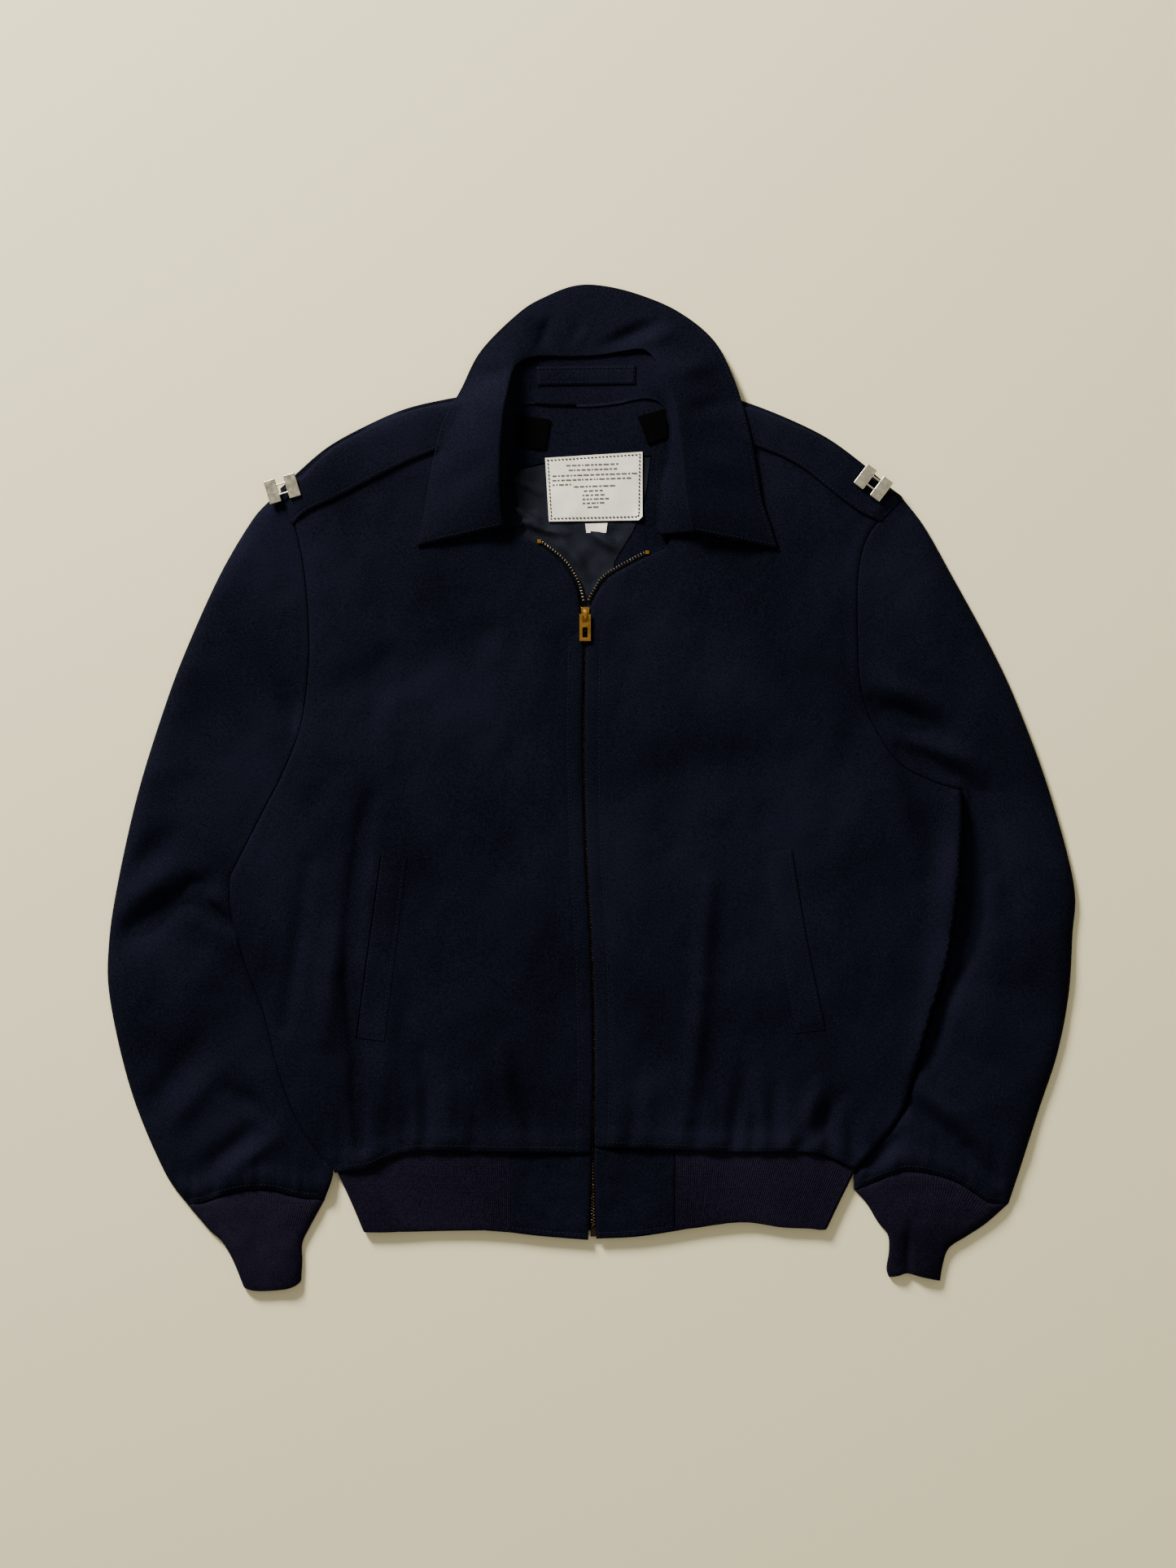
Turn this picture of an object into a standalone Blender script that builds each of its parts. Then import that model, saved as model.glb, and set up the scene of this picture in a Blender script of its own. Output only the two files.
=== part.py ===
"""Bomber jacket laid flat on its back and zipped to the chest, in metres with +Z up.

Left and right are the wearer's, so the right side has negative X. +Y points to the collar.
The tables are in millimetres, read along each edge and each fold of the laid jacket.
"""
import math

import bmesh
import bpy
from mathutils import Vector
from mathutils.bvhtree import BVHTree
from mathutils.geometry import delaunay_2d_cdt

MM = 0.001
OBJECT_NAME = "bomber_jacket"

# Driving dimensions, in millimetres
CLOTH = 1.9
KNIT = 2.2
SEAM = 0.4
CLEAR = 0.4
BACK_TOP = 1.8
LAYER_LOW = 2.15
LINING_TOP = 3.0
FACING_TOP = 3.2
FRONT_LOW = 4.3
FRONT_LOFT = 1.2
SIDE_ROLL = 13.0
SLEEVE_TOP = 7.7
ARMHOLE_TOP = 6.3
SLEEVE_ROLL = 16.0
SLEEVE_EDGE = 3.0
SLEEVE_LOWEST, SLEEVE_HIGHEST = 4.9, 9.6
CUFF_TOP = 6.0
CUFF_ROLL = 9.0
CUFF_LOWEST, CUFF_HIGHEST = 5.2, 7.4
COLLAR_WALL = 2.1
STAND_WALL = 2.0
STAND_DROP = 4.4
STAND_OUT = 1.6
STAND_BOW = 0.9
LOOP_WALL = 1.6
TRIM_GAP = 0.3
PATCH_WALL = 1.4
LABEL_WALL = 1.0
TAB_WALL = 0.8
TAPE_LOW = 2.5
TAPE_TOP = 3.4
CHAIN_TOP = 4.0
CHAIN_HALF = 2.6
TAPE_HALF = 10.0
ZIP_GAP = 1.4
OPEN_EDGE_OUT = 2.5
BLOUSE = 2.3
STRAP_EDGE = 0.9
SLIDER_X = -4.9
SLIDER_Y = 138.2
SLIDER_SIZE = (6.8, 12.0, 3.8)
SLIDER_LOW = 3.4
ARCH_REACH = 5.4
ARCH_RISE = 3.5
ARCH_WALL = 1.1
ARCH_WIDTH = 2.4
PIVOT_RISE = 1.2
PULL_SIZE = (9.0, 21.4, 1.2)
PULL_WINDOW = 3.9
PULL_WINDOWS = (("upper", -3.45, 5.7), ("lower", -13.95, 8.1))
BADGE_SIZE = (25.8, 19.0, 1.8)
BADGE_BAR = 9.5
BADGE_RUNG = 1.4
BADGE_RUNG_GAP = 6.4

# How finely the cloth is divided
STEP = 12.5
CUFF_STEP = 8.0
ROLL_RING = 4.5
COLLAR_ROWS, STAND_ROWS = 38, 34
SIDE_SPANS, ARM_SPANS, CHAIN_SPANS = 15, 16, 20

# Edges of the right half: x, y
SHOULDER_RIGHT = ((-69, 306), (-108, 307), (-149, 299), (-183, 284), (-210, 268), (-231, 247), (-247, 234))
ARMHOLE_RIGHT = ((-247, 234), (-237, 210), (-230, 178), (-226, 136), (-226, 97), (-232, 51), (-246, 13),
                 (-264, -22), (-289, -71))
SIDE_RIGHT = ((-289, -71), (-286, -98), (-275, -139), (-259, -182), (-247, -229), (-232, -266),
              (-214, -293), (-205, -306))
WAIST_RIGHT = ((-205, -306), (-180, -303), (-159, -294), (-137, -289), (-64, -290), (-0.5, -291))
ZIP_LINE = ((1, -291), (2, -241), (2, -195), (0, -125), (-4, -56), (-6, 12), (-6, 77), (-5, 119))
CHAIN_HEAD = (-5, 129.5)
CHAIN_FOOT = (2, -350)
ZIP_BOX = ((-0.6, -358.5), (4.4, -358.5), (4.4, -350.8), (-0.6, -350.8))
STOP_FORM = ((-1.6, -1.2), (1.6, -1.2), (1.6, 1.6), (-1.6, 1.6))
VEE_RIGHT = ((-9, 147), (-13, 163), (-24, 180), (-43, 195), (-60, 203))
NECK_RIGHT = ((-60, 203), (-69, 222), (-71, 256), (-70, 285), (-69, 306))
SLEEVE_OUTER_RIGHT = ((-247, 234), (-273, 210), (-297, 171), (-322, 116), (-340, 69), (-362, -1), (-378, -71),
                      (-386, -124), (-385, -170), (-368, -243), (-342, -306), (-323, -333))
SLEEVE_INNER_RIGHT = ((-289, -71), (-288, -98), (-277, -139), (-261, -182), (-249, -229), (-234, -267),
                      (-221, -295), (-213, -329))
CUFF_SEAM_RIGHT = ((-323, -333), (-310, -331), (-286, -323), (-259, -321), (-233, -327), (-213, -329))
CUFF_OUTER_RIGHT = ((-323, -333), (-305, -354), (-296, -362), (-287, -377), (-278, -399))
CUFF_INNER_RIGHT = ((-213, -329), (-225, -351), (-231, -364), (-231, -378), (-232, -393))
CUFF_END_RIGHT = ((-278, -399), (-267, -402), (-247, -401), (-237, -398), (-232, -393))

# Edges of the left half: x, y
SHOULDER_LEFT = ((62, 309), (121, 304), (158, 291), (188, 276), (216, 252), (235, 239), (248, 233))
ARMHOLE_LEFT = ((248, 233), (230, 214), (218, 194), (213, 165), (213, 123), (215, 84), (225, 51), (246, 20),
                (271, 6), (296, -2))
SIDE_LEFT = ((296, -2), (293, -22), (292, -46), (290, -85), (282, -141), (268, -183), (253, -238), (243, -262),
             (221, -290), (211, -304))
WAIST_LEFT = ((211, -304), (191, -294), (171, -290), (113, -290), (65, -288), (2.5, -286))
VEE_LEFT = ((0, 147), (6, 158), (15, 169), (46, 186), (58, 191))
NECK_LEFT = ((58, 191), (66, 206), (68, 240), (66, 285), (62, 309))
SLEEVE_OUTER_LEFT = ((248, 233), (266, 210), (288, 171), (318, 116), (340, 69), (366, -1), (386, -76),
                     (385, -118), (382, -165), (373, -212), (358, -258), (343, -305), (334, -332))
SLEEVE_INNER_LEFT = ((296, -2), (297, -22), (296, -46), (293, -85), (284, -141), (271, -184), (255, -239),
                     (245, -265), (225, -295), (214, -322))
CUFF_SEAM_LEFT = ((334, -332), (318, -331), (301, -320), (282, -311), (254, -306), (235, -311), (214, -322))
CUFF_OUTER_LEFT = ((334, -332), (316, -348), (301, -358), (286, -368), (281, -382), (279, -394))
CUFF_INNER_LEFT = ((214, -322), (221, -332), (229, -347), (237, -357), (238, -370), (236, -384), (238, -391))
CUFF_END_LEFT = ((279, -394), (265, -391), (253, -388), (245, -390), (238, -391))

# Back: the neck seam and the waist seam, x, y
NECK_BACK = ((62, 309), (30, 305), (0, 304.3), (-40, 304.3), (-69, 306))
WAIST_BACK = ((-205, -306), (-167, -300), (-108, -297), (0, -296), (113, -297), (178, -299), (211, -304))

# Waist rib: x, y along its seam edge and its hem edge, for the front right, back and front left runs
RIB_FRONT_RIGHT = (((-65, -291.5), (-108, -290.5), (-143, -289.5), (-160, -295.5), (-180, -303.5),
                    (-200, -307)),
                   ((-65, -355), (-95, -353), (-128, -353), (-144, -354), (-163, -355), (-179, -355)))
RIB_BACK = (((-200, -307.5), (-167, -301.5), (-108, -298.5), (0, -297.5), (113, -298.5), (178, -300.5),
             (206, -305)),
            ((-179, -355), (-147, -355), (-95, -354), (0, -354), (100, -354), (152, -353), (185, -353)))
RIB_FRONT_LEFT = (((206, -304.5), (200, -301), (190, -296), (171, -291.5), (139, -291.5), (100, -291),
                   (67, -290)),
                  ((185, -353), (182, -353), (174, -352), (152, -351), (123, -347), (90, -350), (67, -354)))

# Waist tabs: seam edge and hem edge, x, y from the rib to the zip
TAB_RIGHT = (((-63.5, -291.5), (-30, -292), (-0.5, -292)), ((-63.5, -355), (-40, -358), (-3, -361)))
TAB_LEFT = (((65.5, -289.5), (30, -288.5), (2.8, -287)), ((65.5, -354), (36, -358.5), (4.6, -360)))

# Collar: one row for each section from the right leaf round the back to the left leaf
# roll x, roll y, roll height, edge x, edge y, edge height
COLLAR = (
    (-70, 208, 15, -139, 193, 9),
    (-72, 232, 20, -134, 217, 9),
    (-72, 258, 23, -128, 254, 9),
    (-71, 279, 24, -121, 284, 9),
    (-69, 300, 23, -114, 301, 8),
    (-66, 315, 20, -104, 319, 6),
    (-63, 329, 16, -88, 350, 4.5),
    (-58, 339, 11, -57, 381, 3),
    (-43, 345, 7, -35, 394, 2.6),
    (-17, 345, 6, -13, 402, 2.4),
    (6, 346, 6, 9, 402, 2.4),
    (25, 349, 7, 38, 395, 2.6),
    (41, 350, 10, 70, 381, 3),
    (50, 342, 14, 98, 358, 4.5),
    (56, 329, 19, 114, 327, 7),
    (64, 310, 22, 123, 298, 8.5),
    (68, 290, 24, 129, 273, 9),
    (71, 266, 24, 133, 250, 9),
    (73, 245, 23, 137, 228, 9),
    (76, 224, 21, 143, 210, 9),
    (80, 204, 17, 149, 191, 9),
)

# Stand: foot x, foot y, foot height, one row for each collar section
STAND_FOOT = (
    (-55, 208, 4.6), (-62, 230, 3.8), (-65, 257, 3.8), (-65, 278, 3.8), (-63, 295, 3.8), (-60, 303, 3.9),
    (-55, 307, 3.9), (-48, 308, 3.6), (-38, 306.5, 3.2), (-17, 306, 3), (4, 306.5, 3), (22, 308.5, 3.2),
    (36, 311.5, 3.6), (46, 312.5, 4.0), (54, 308, 4.2), (58, 299, 4.2), (59, 284, 4.2), (57, 262, 4.4),
    (54, 242, 4.6), (52, 220, 5.2), (54, 202, 7.0),
)

# Shoulder straps: lower edge and upper edge, x, y from the arm to the collar
STRAP_RIGHT = (((-236, 216), (-224, 225), (-202, 233), (-176, 246), (-150, 259), (-131, 267)),
               ((-246, 235), (-234, 251), (-212, 272), (-184, 288), (-150, 303), (-117, 311)))
STRAP_LEFT = (((224, 212), (210, 222), (191, 238), (171, 254), (152, 265), (137, 271)),
              ((246, 234.5), (230, 247), (214, 262), (189, 280), (159, 295), (126, 308)))

# Pocket welts: mouth edge and front edge, x, y from top to bottom
WELT_RIGHT = (((-169, -53), (-179, -126), (-189, -199)), ((-147, -55), (-156, -128), (-165, -202)))
WELT_LEFT = (((160, -49), (172, -121), (187, -193)), ((136, -51), (149, -124), (162, -196)))

# Badge centres, x and y
BADGE_RIGHT = (-246.5, 239.0)
BADGE_LEFT = (225.0, 243.5)

# Small flat pieces inside the neck, outlines in x, y
HANGER = ((-44, 337), (35, 338), (35, 323), (-43, 322))
PATCH_RIGHT = ((-58, 298), (-33, 295), (-37, 271), (-59, 273))
PATCH_LEFT = ((37, 297), (53, 301), (53, 281), (45, 275))
LABEL = ((-37, 264), (41, 269), (41, 217), (38, 214), (-34, 213))
SIZE_TAB = ((-5, 211.5), (13, 212), (12, 204), (-4, 204))
FACING = ((-67, 303.5), (-40, 303.6), (0, 303.6), (30, 304.3), (60, 308), (60, 268), (41, 266), (-38, 260),
          (-56, 256), (-68, 241))
LINING = ((-68, 240), (-56, 255), (-38, 259), (41, 265), (60, 267), (60, 214), (66, 183), (30, 160), (6, 141),
          (-13, 141), (-36, 172), (-66, 190))

# Folds: x and y of each end, half width, height (a trough is negative)
FRONT_FOLDS_RIGHT = (
    (-178, -14, -184, -75, 15, -2.0),
    (-187, -75, -192, -169, 13, -2.6),
    (-192, -169, -184, -275, 12, -2.4),
    (-205, -120, -212, -200, 11, 1.6),
    (-212, 8, -224, -20, 18, -1.2),
    (-160, -150, -166, -250, 12, 1.6),
    (-73, -213, -66, -250, 9, 1.3),
    (-60, -235, -43, -280, 9, -1.6),
    (-136, -213, -126, -285, 9, -1.4),
    (-118, -225, -108, -286, 9, 1.2),
    (-90, -255, -86, -288, 7, -1.0),
    (-115, 107, -205, 76, 22, -1.3),
    (-56, 128, -95, 122, 18, -0.9),
    (-60, 60, -150, 30, 30, 0.9),
)
FRONT_FOLDS_LEFT = (
    (94, -78, 88, -160, 10, 1.8),
    (88, -160, 78, -262, 10, 2.4),
    (76, -136, 60, -200, 22, -1.6),
    (60, -200, 29, -240, 22, -1.7),
    (122, -225, 115, -290, 8, -1.5),
    (201, -245, 171, -287, 9, -1.6),
    (185, -235, 160, -285, 9, 1.2),
    (146, -240, 142, -290, 8, -1.0),
    (40, -250, 45, -288, 8, -1.0),
    (48, 19, 178, 19, 24, -1.2),
    (230, 40, 262, -60, 14, 1.4),
    (210, 60, 190, -40, 20, -1.0),
)
SLEEVE_FOLDS_RIGHT = (
    (-308, -76, -324, -86, 12, -2.6),
    (-324, -86, -378, -124, 17, -2.6),
    (-318, -91, -283, -115, 9, -2.0),
    (-330, -62, -372, -96, 14, 1.6),
    (-336, -36, -366, -66, 14, -1.5),
    (-317, -208, -352, -254, 15, -1.9),
    (-300, -226, -335, -270, 12, 1.3),
    (-286, -241, -258, -262, 10, -1.5),
    (-264, -269, -312, -307, 12, -1.9),
    (-255, -282, -290, -306, 9, 1.3),
    (-245, 77, -235, 45, 12, -1.8),
    (-300, -130, -335, -190, 22, 1.2),
)
SLEEVE_FOLDS_LEFT = (
    (226, 66, 277, 42, 14, -3.2),
    (232, 84, 282, 62, 12, 1.5),
    (249, 32, 301, 4, 9, -2.4),
    (262, 40, 310, 16, 9, 1.5),
    (310, -8, 318, -60, 13, -2.6),
    (327, -31, 342, -124, 16, -1.6),
    (300, -90, 306, -150, 16, -1.5),
    (253, -248, 300, -290, 11, -2.6),
    (300, -290, 327, -322, 9, -2.4),
    (262, -238, 312, -282, 11, 1.8),
    (290, -170, 330, -215, 20, 1.1),
)
CUFF_FOLDS_RIGHT = ((-268, -352, -262, -400, 9, -1.0), (-245, -345, -243, -398, 8, 0.7))
CUFF_FOLDS_LEFT = ((254, -350, 253, -392, 5, -1.9), (268, -350, 270, -388, 8, 0.8))

# Materials: name, base colour in linear light, roughness, metallic
FINISHES = {
    "gabardine": ((0.012, 0.014, 0.026), 0.82, 0.0),
    "rib_knit": ((0.013, 0.011, 0.024), 0.9, 0.0),
    "satin_lining": ((0.025, 0.034, 0.055), 0.42, 0.0),
    "label_cloth": ((0.62, 0.60, 0.55), 0.85, 0.0),
    "hook_fastener": ((0.006, 0.006, 0.007), 0.95, 0.0),
    "zip_tape": ((0.009, 0.010, 0.018), 0.85, 0.0),
    "brass": ((0.60, 0.40, 0.14), 0.3, 1.0),
    "dark_brass": ((0.26, 0.19, 0.10), 0.4, 1.0),
    "silver": ((0.70, 0.70, 0.68), 0.25, 1.0),
}


def clear_scene():
    for item in list(bpy.data.objects):
        bpy.data.objects.remove(item, do_unlink=True)


def new_collection(name, hidden=False):
    group = bpy.data.collections.new(name)
    bpy.context.scene.collection.children.link(group)
    group.hide_render = hidden
    return group


def new_material(name):
    colour, roughness, metallic = FINISHES[name]
    material = bpy.data.materials.new(name)
    material.use_nodes = True
    shader = material.node_tree.nodes["Principled BSDF"]
    shader.inputs["Base Color"].default_value = (*colour, 1.0)
    shader.inputs["Roughness"].default_value = roughness
    shader.inputs["Metallic"].default_value = metallic
    return material


def distance(a, b):
    return math.dist(a[:2], b[:2])


def between(a, b, t):
    return tuple(p + (q - p) * t for p, q in zip(a, b))


def smooth(points, count):
    """Even steps along a smooth curve through the points of a table."""
    dense = []
    last = len(points) - 1
    for i in range(last):
        before, start = points[max(i - 1, 0)], points[i]
        end, after = points[i + 1], points[min(i + 2, last)]
        for step in range(12):
            t = step / 12
            dense.append(tuple(
                0.5 * (2 * b + (c - a) * t + (2 * a - 5 * b + 4 * c - d) * t ** 2
                       + (3 * b - a - 3 * c + d) * t ** 3)
                for a, b, c, d in zip(before, start, end, after)))
    dense.append(tuple(float(v) for v in points[-1]))
    run = [0.0]
    for a, b in zip(dense, dense[1:]):
        run.append(run[-1] + math.dist(a, b))
    samples, k = [], 0
    for i in range(count):
        goal = run[-1] * i / (count - 1)
        while k < len(run) - 2 and run[k + 1] < goal:
            k += 1
        span = run[k + 1] - run[k]
        samples.append(between(dense[k], dense[k + 1], (goal - run[k]) / span if span else 0.0))
    return samples


def inset(outline, gap):
    """A closed outline drawn in by a gap."""
    area = sum(a[0] * b[1] - b[0] * a[1] for a, b in zip(outline, outline[1:] + outline[:1]))
    side = 1 if area > 0 else -1
    out = []
    for i, here in enumerate(outline):
        before, after = outline[i - 1], outline[(i + 1) % len(outline)]
        first = Vector((here[0] - before[0], here[1] - before[1])).normalized()
        second = Vector((after[0] - here[0], after[1] - here[1])).normalized()
        along = (first + second).normalized()
        out.append((here[0] - along.y * gap * side, here[1] + along.x * gap * side))
    return out


def beside(path, gap):
    """A line that runs beside a path, gap millimetres to its right."""
    out = []
    for i, here in enumerate(path):
        before, after = path[max(i - 1, 0)], path[min(i + 1, len(path) - 1)]
        along = Vector((after[0] - before[0], after[1] - before[1])).normalized()
        out.append((here[0] + along.y * gap, here[1] - along.x * gap))
    return out


def outline_of(*stretches):
    """A closed outline drawn in by half a seam, and its stretches by name."""
    loop, spans = [], {}
    for name, points, count in stretches:
        spans[name] = (len(loop), len(loop) + count)
        loop += smooth(points, count + 1)[:-1]
    loop = inset(loop, SEAM)
    edges = {name: [loop[k % len(loop)] for k in range(a, b + 1)] for name, (a, b) in spans.items()}
    return loop, edges, spans


def gap_to(line, x, y):
    """Distance from a place to a line of points."""
    best = 1e9
    for (ax, ay), (bx, by) in zip(line, line[1:]):
        dx, dy = bx - ax, by - ay
        square = dx * dx + dy * dy or 1.0
        t = min(max(((x - ax) * dx + (y - ay) * dy) / square, 0.0), 1.0)
        best = min(best, (x - ax - dx * t) ** 2 + (y - ay - dy * t) ** 2)
    return math.sqrt(best)


def inside(outline, x, y):
    crossed = False
    for (ax, ay), (bx, by) in zip(outline, outline[1:] + outline[:1]):
        if (ay > y) != (by > y) and x < (bx - ax) * (y - ay) / (by - ay) + ax:
            crossed = not crossed
    return crossed


def spread(outline, step, folds):
    """Staggered points inside an outline, twice as close where folds lie."""
    loop = outline + outline[:1]
    x_low, x_high = min(p[0] for p in outline), max(p[0] for p in outline)
    y_low, y_high = min(p[1] for p in outline), max(p[1] for p in outline)
    rise = step * math.sqrt(0.75)
    found = []
    for row in range(int((y_high - y_low) / rise) + 1):
        y = y_low + row * rise
        for column in range(int((x_high - x_low) / step) + 1):
            x = x_low + (column + 0.5 * (row % 2)) * step
            wide = row % 2 == 0 and (column + row // 2) % 2 == 0
            near = any(gap_to((f[0:2], f[2:4]), x, y) < f[4] * 1.45 for f in folds)
            if (wide or near) and inside(outline, x, y) and gap_to(loop, x, y) > step * 0.62:
                found.append((x, y))
    return found


def triangles_over(points, border):
    """Triangles that join the points inside a border, the first points of the list."""
    edges = [(i, (i + 1) % border) for i in range(border)]
    flat = [Vector(p) for p in points]
    _, _, faces, origins, _, _ = delaunay_2d_cdt(flat, edges, [list(range(border))], 1, 1e-5)
    return [tuple(origins[v][0] for v in face) for face in faces]


def rounded(run, reach):
    t = min(max(run / reach, 0.0), 1.0)
    return math.sqrt(1 - (1 - t) ** 2)


def eased(run, reach):
    t = min(max(run / reach, 0.0), 1.0)
    return t * t * (3 - 2 * t)


def relief(x, y, folds):
    """Height added by the folds at a point."""
    total = 0.0
    for x0, y0, x1, y1, half_width, height in folds:
        along = (x1 - x0, y1 - y0)
        length = along[0] ** 2 + along[1] ** 2
        t = min(max(((x - x0) * along[0] + (y - y0) * along[1]) / length, 0.0), 1.0)
        away = math.dist((x, y), (x0 + along[0] * t, y0 + along[1] * t)) / half_width
        total += height * math.exp(-away * away * 1.6)
    return total


class Pieces:
    """Builds the named solids and keeps a ray tree of each for what lies on it."""

    def __init__(self):
        self.parts = new_collection(OBJECT_NAME)
        self.cutters = new_collection("cutters", hidden=True)
        self.materials = {name: new_material(name) for name in FINISHES}
        self.trees = {}

    def add(self, name, points, faces, finish):
        """A closed solid from points in millimetres."""
        mesh = bpy.data.meshes.new(name)
        mesh.from_pydata([tuple(v * MM for v in p) for p in points], [], faces)
        form = bmesh.new()
        form.from_mesh(mesh)
        bmesh.ops.recalc_face_normals(form, faces=form.faces)
        form.to_mesh(mesh)
        form.free()
        mesh.shade_smooth()
        mesh.set_sharp_from_angle(angle=math.radians(40))
        item = bpy.data.objects.new(name, mesh)
        item.data.materials.append(self.materials[finish])
        self.parts.objects.link(item)
        self.trees[name] = BVHTree.FromPolygons([Vector(p) for p in points], faces)
        return item

    def top_at(self, names, x, y, reach=0.0):
        """The highest point of the named pieces at, or within reach of, a place."""
        best = 0.0
        steps = (0, 0), (reach, 0), (-reach, 0), (0, reach), (0, -reach)
        for dx, dy in steps if reach else steps[:1]:
            for name in names:
                hit = self.trees[name].ray_cast(Vector((x + dx, y + dy, 90)), Vector((0, 0, -1)))
                if hit[0] is not None:
                    best = max(best, hit[0].z)
        return best

    def wall(self, name, upper, lower, finish):
        """A sheet of cloth between an upper and a lower grid of points."""
        rows, columns = len(upper), len(upper[0])
        points = [p for row in upper for p in row] + [p for row in lower for p in row]
        under = rows * columns

        def at(i, j, side):
            return side * under + i * columns + j

        faces = []
        for i in range(rows - 1):
            for j in range(columns - 1):
                faces.append((at(i, j, 0), at(i, j + 1, 0), at(i + 1, j + 1, 0), at(i + 1, j, 0)))
                faces.append((at(i, j, 1), at(i + 1, j, 1), at(i + 1, j + 1, 1), at(i, j + 1, 1)))
        for i in range(rows - 1):
            for j in (0, columns - 1):
                faces.append((at(i, j, 0), at(i + 1, j, 0), at(i + 1, j, 1), at(i, j, 1)))
        for j in range(columns - 1):
            for i in (0, rows - 1):
                faces.append((at(i, j, 0), at(i, j + 1, 0), at(i, j + 1, 1), at(i, j, 1)))
        return self.add(name, points, faces, finish)

    def cloth(self, name, loop, inner, over, under, finish):
        """A wall of cloth over an outline, between two heights."""
        border = len(loop)
        flat = loop + inner
        net = triangles_over(flat, border)
        points = [(x, y, over(x, y)) for x, y in flat] + [(x, y, under(x, y)) for x, y in flat]
        shift = len(flat)
        faces = net + [tuple(v + shift for v in face) for face in net]
        faces += [(j, (j + 1) % border, shift + (j + 1) % border, shift + j) for j in range(border)]
        return self.add(name, points, faces, finish)

    def tube(self, name, loop, spans, inner, top, wall, finish):
        """A flattened tube on the floor, open along the stretches named start and end."""
        border = len(loop)
        opened = {k for key in ("start", "end") for k in range(spans[key][0] + 1, spans[key][1])}
        corners = [k % border for key in ("start", "end") for k in spans[key]]
        drawn = inset(loop, wall + 0.9)
        hollow = [loop[k] if k in opened else drawn[k] for k in range(border)]
        skin, core = loop + inner, hollow + inner
        layers = ((skin, top), (loop, lambda x, y: 0.0),
                  (core, lambda x, y: max(top(x, y) - wall, wall + 0.25)), (hollow, lambda x, y: wall))
        points, faces, starts = [], [], []
        for flat, height in layers:
            starts.append(len(points))
            points += [(x, y, height(x, y)) for x, y in flat]
            faces += [tuple(v + starts[-1] for v in face) for face in triangles_over(flat, border)]
        for j in range(border):
            k = (j + 1) % border
            along_opening = any(a <= j and j + 1 <= b for a, b in (spans["start"], spans["end"]))
            pairs = ((0, 2), (1, 3)) if along_opening else ((0, 1), (2, 3))
            for a, b in pairs:
                faces.append((starts[a] + j, starts[a] + k, starts[b] + k, starts[b] + j))
        for c in corners:
            faces.append((starts[0] + c, starts[2] + c, starts[3] + c, starts[1] + c))
        return self.add(name, points, faces, finish)

    def swept(self, name, path, profile, finish):
        """A closed profile of (across, height) carried along a path of x, y."""
        points, size = [], len(profile)
        for i, here in enumerate(path):
            before, after = path[max(i - 1, 0)], path[min(i + 1, len(path) - 1)]
            along = Vector((after[0] - before[0], after[1] - before[1])).normalized()
            for across, height in profile:
                points.append((here[0] + along.y * across, here[1] - along.x * across, height))
        faces = []
        for i in range(len(path) - 1):
            for j in range(size):
                k = (j + 1) % size
                faces.append((i * size + j, i * size + k, (i + 1) * size + k, (i + 1) * size + j))
        faces.append(tuple(range(size)))
        faces.append(tuple(range((len(path) - 1) * size, len(path) * size)))
        return self.add(name, points, faces, finish)

    def slab(self, name, outline, low, high, finish):
        """A flat piece of even thickness from its outline."""
        size = len(outline)
        points = [(x, y, low) for x, y in outline] + [(x, y, high) for x, y in outline]
        faces = [tuple(range(size)), tuple(range(size, 2 * size))]
        for j in range(size):
            k = (j + 1) % size
            faces.append((j, k, size + k, size + j))
        return self.add(name, points, faces, finish)

    def block(self, name, size, centre, collection, turn=0.0):
        """A box from a primitive cube, in millimetres."""
        bpy.ops.mesh.primitive_cube_add(size=1.0, location=tuple(v * MM for v in centre))
        item = bpy.context.object
        item.name = name
        item.data.name = name
        for vertex in item.data.vertices:
            vertex.co = Vector(v * s * MM for v, s in zip(vertex.co, size))
        item.rotation_euler.z = turn
        for group in list(item.users_collection):
            group.objects.unlink(item)
        collection.objects.link(item)
        return item

    def cutter(self, name, size, centre, turn=0.0):
        item = self.block(name, size, centre, self.cutters, turn)
        item.hide_render = True
        item.display_type = "WIRE"
        return item


def build_back(pieces):
    """The whole back, flat on the floor."""
    loop, _, _ = outline_of(
        ("waist", WAIST_BACK, 14), ("side_left", SIDE_LEFT[::-1], SIDE_SPANS),
        ("armhole_left", ARMHOLE_LEFT[::-1], ARM_SPANS), ("shoulder_left", SHOULDER_LEFT[::-1], 9),
        ("neck", NECK_BACK, 6), ("shoulder_right", SHOULDER_RIGHT, 9),
        ("armhole_right", ARMHOLE_RIGHT, ARM_SPANS), ("side_right", SIDE_RIGHT, SIDE_SPANS))
    pieces.cloth("back_panel", loop, [], lambda x, y: BACK_TOP, lambda x, y: 0.0, "gabardine")


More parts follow.
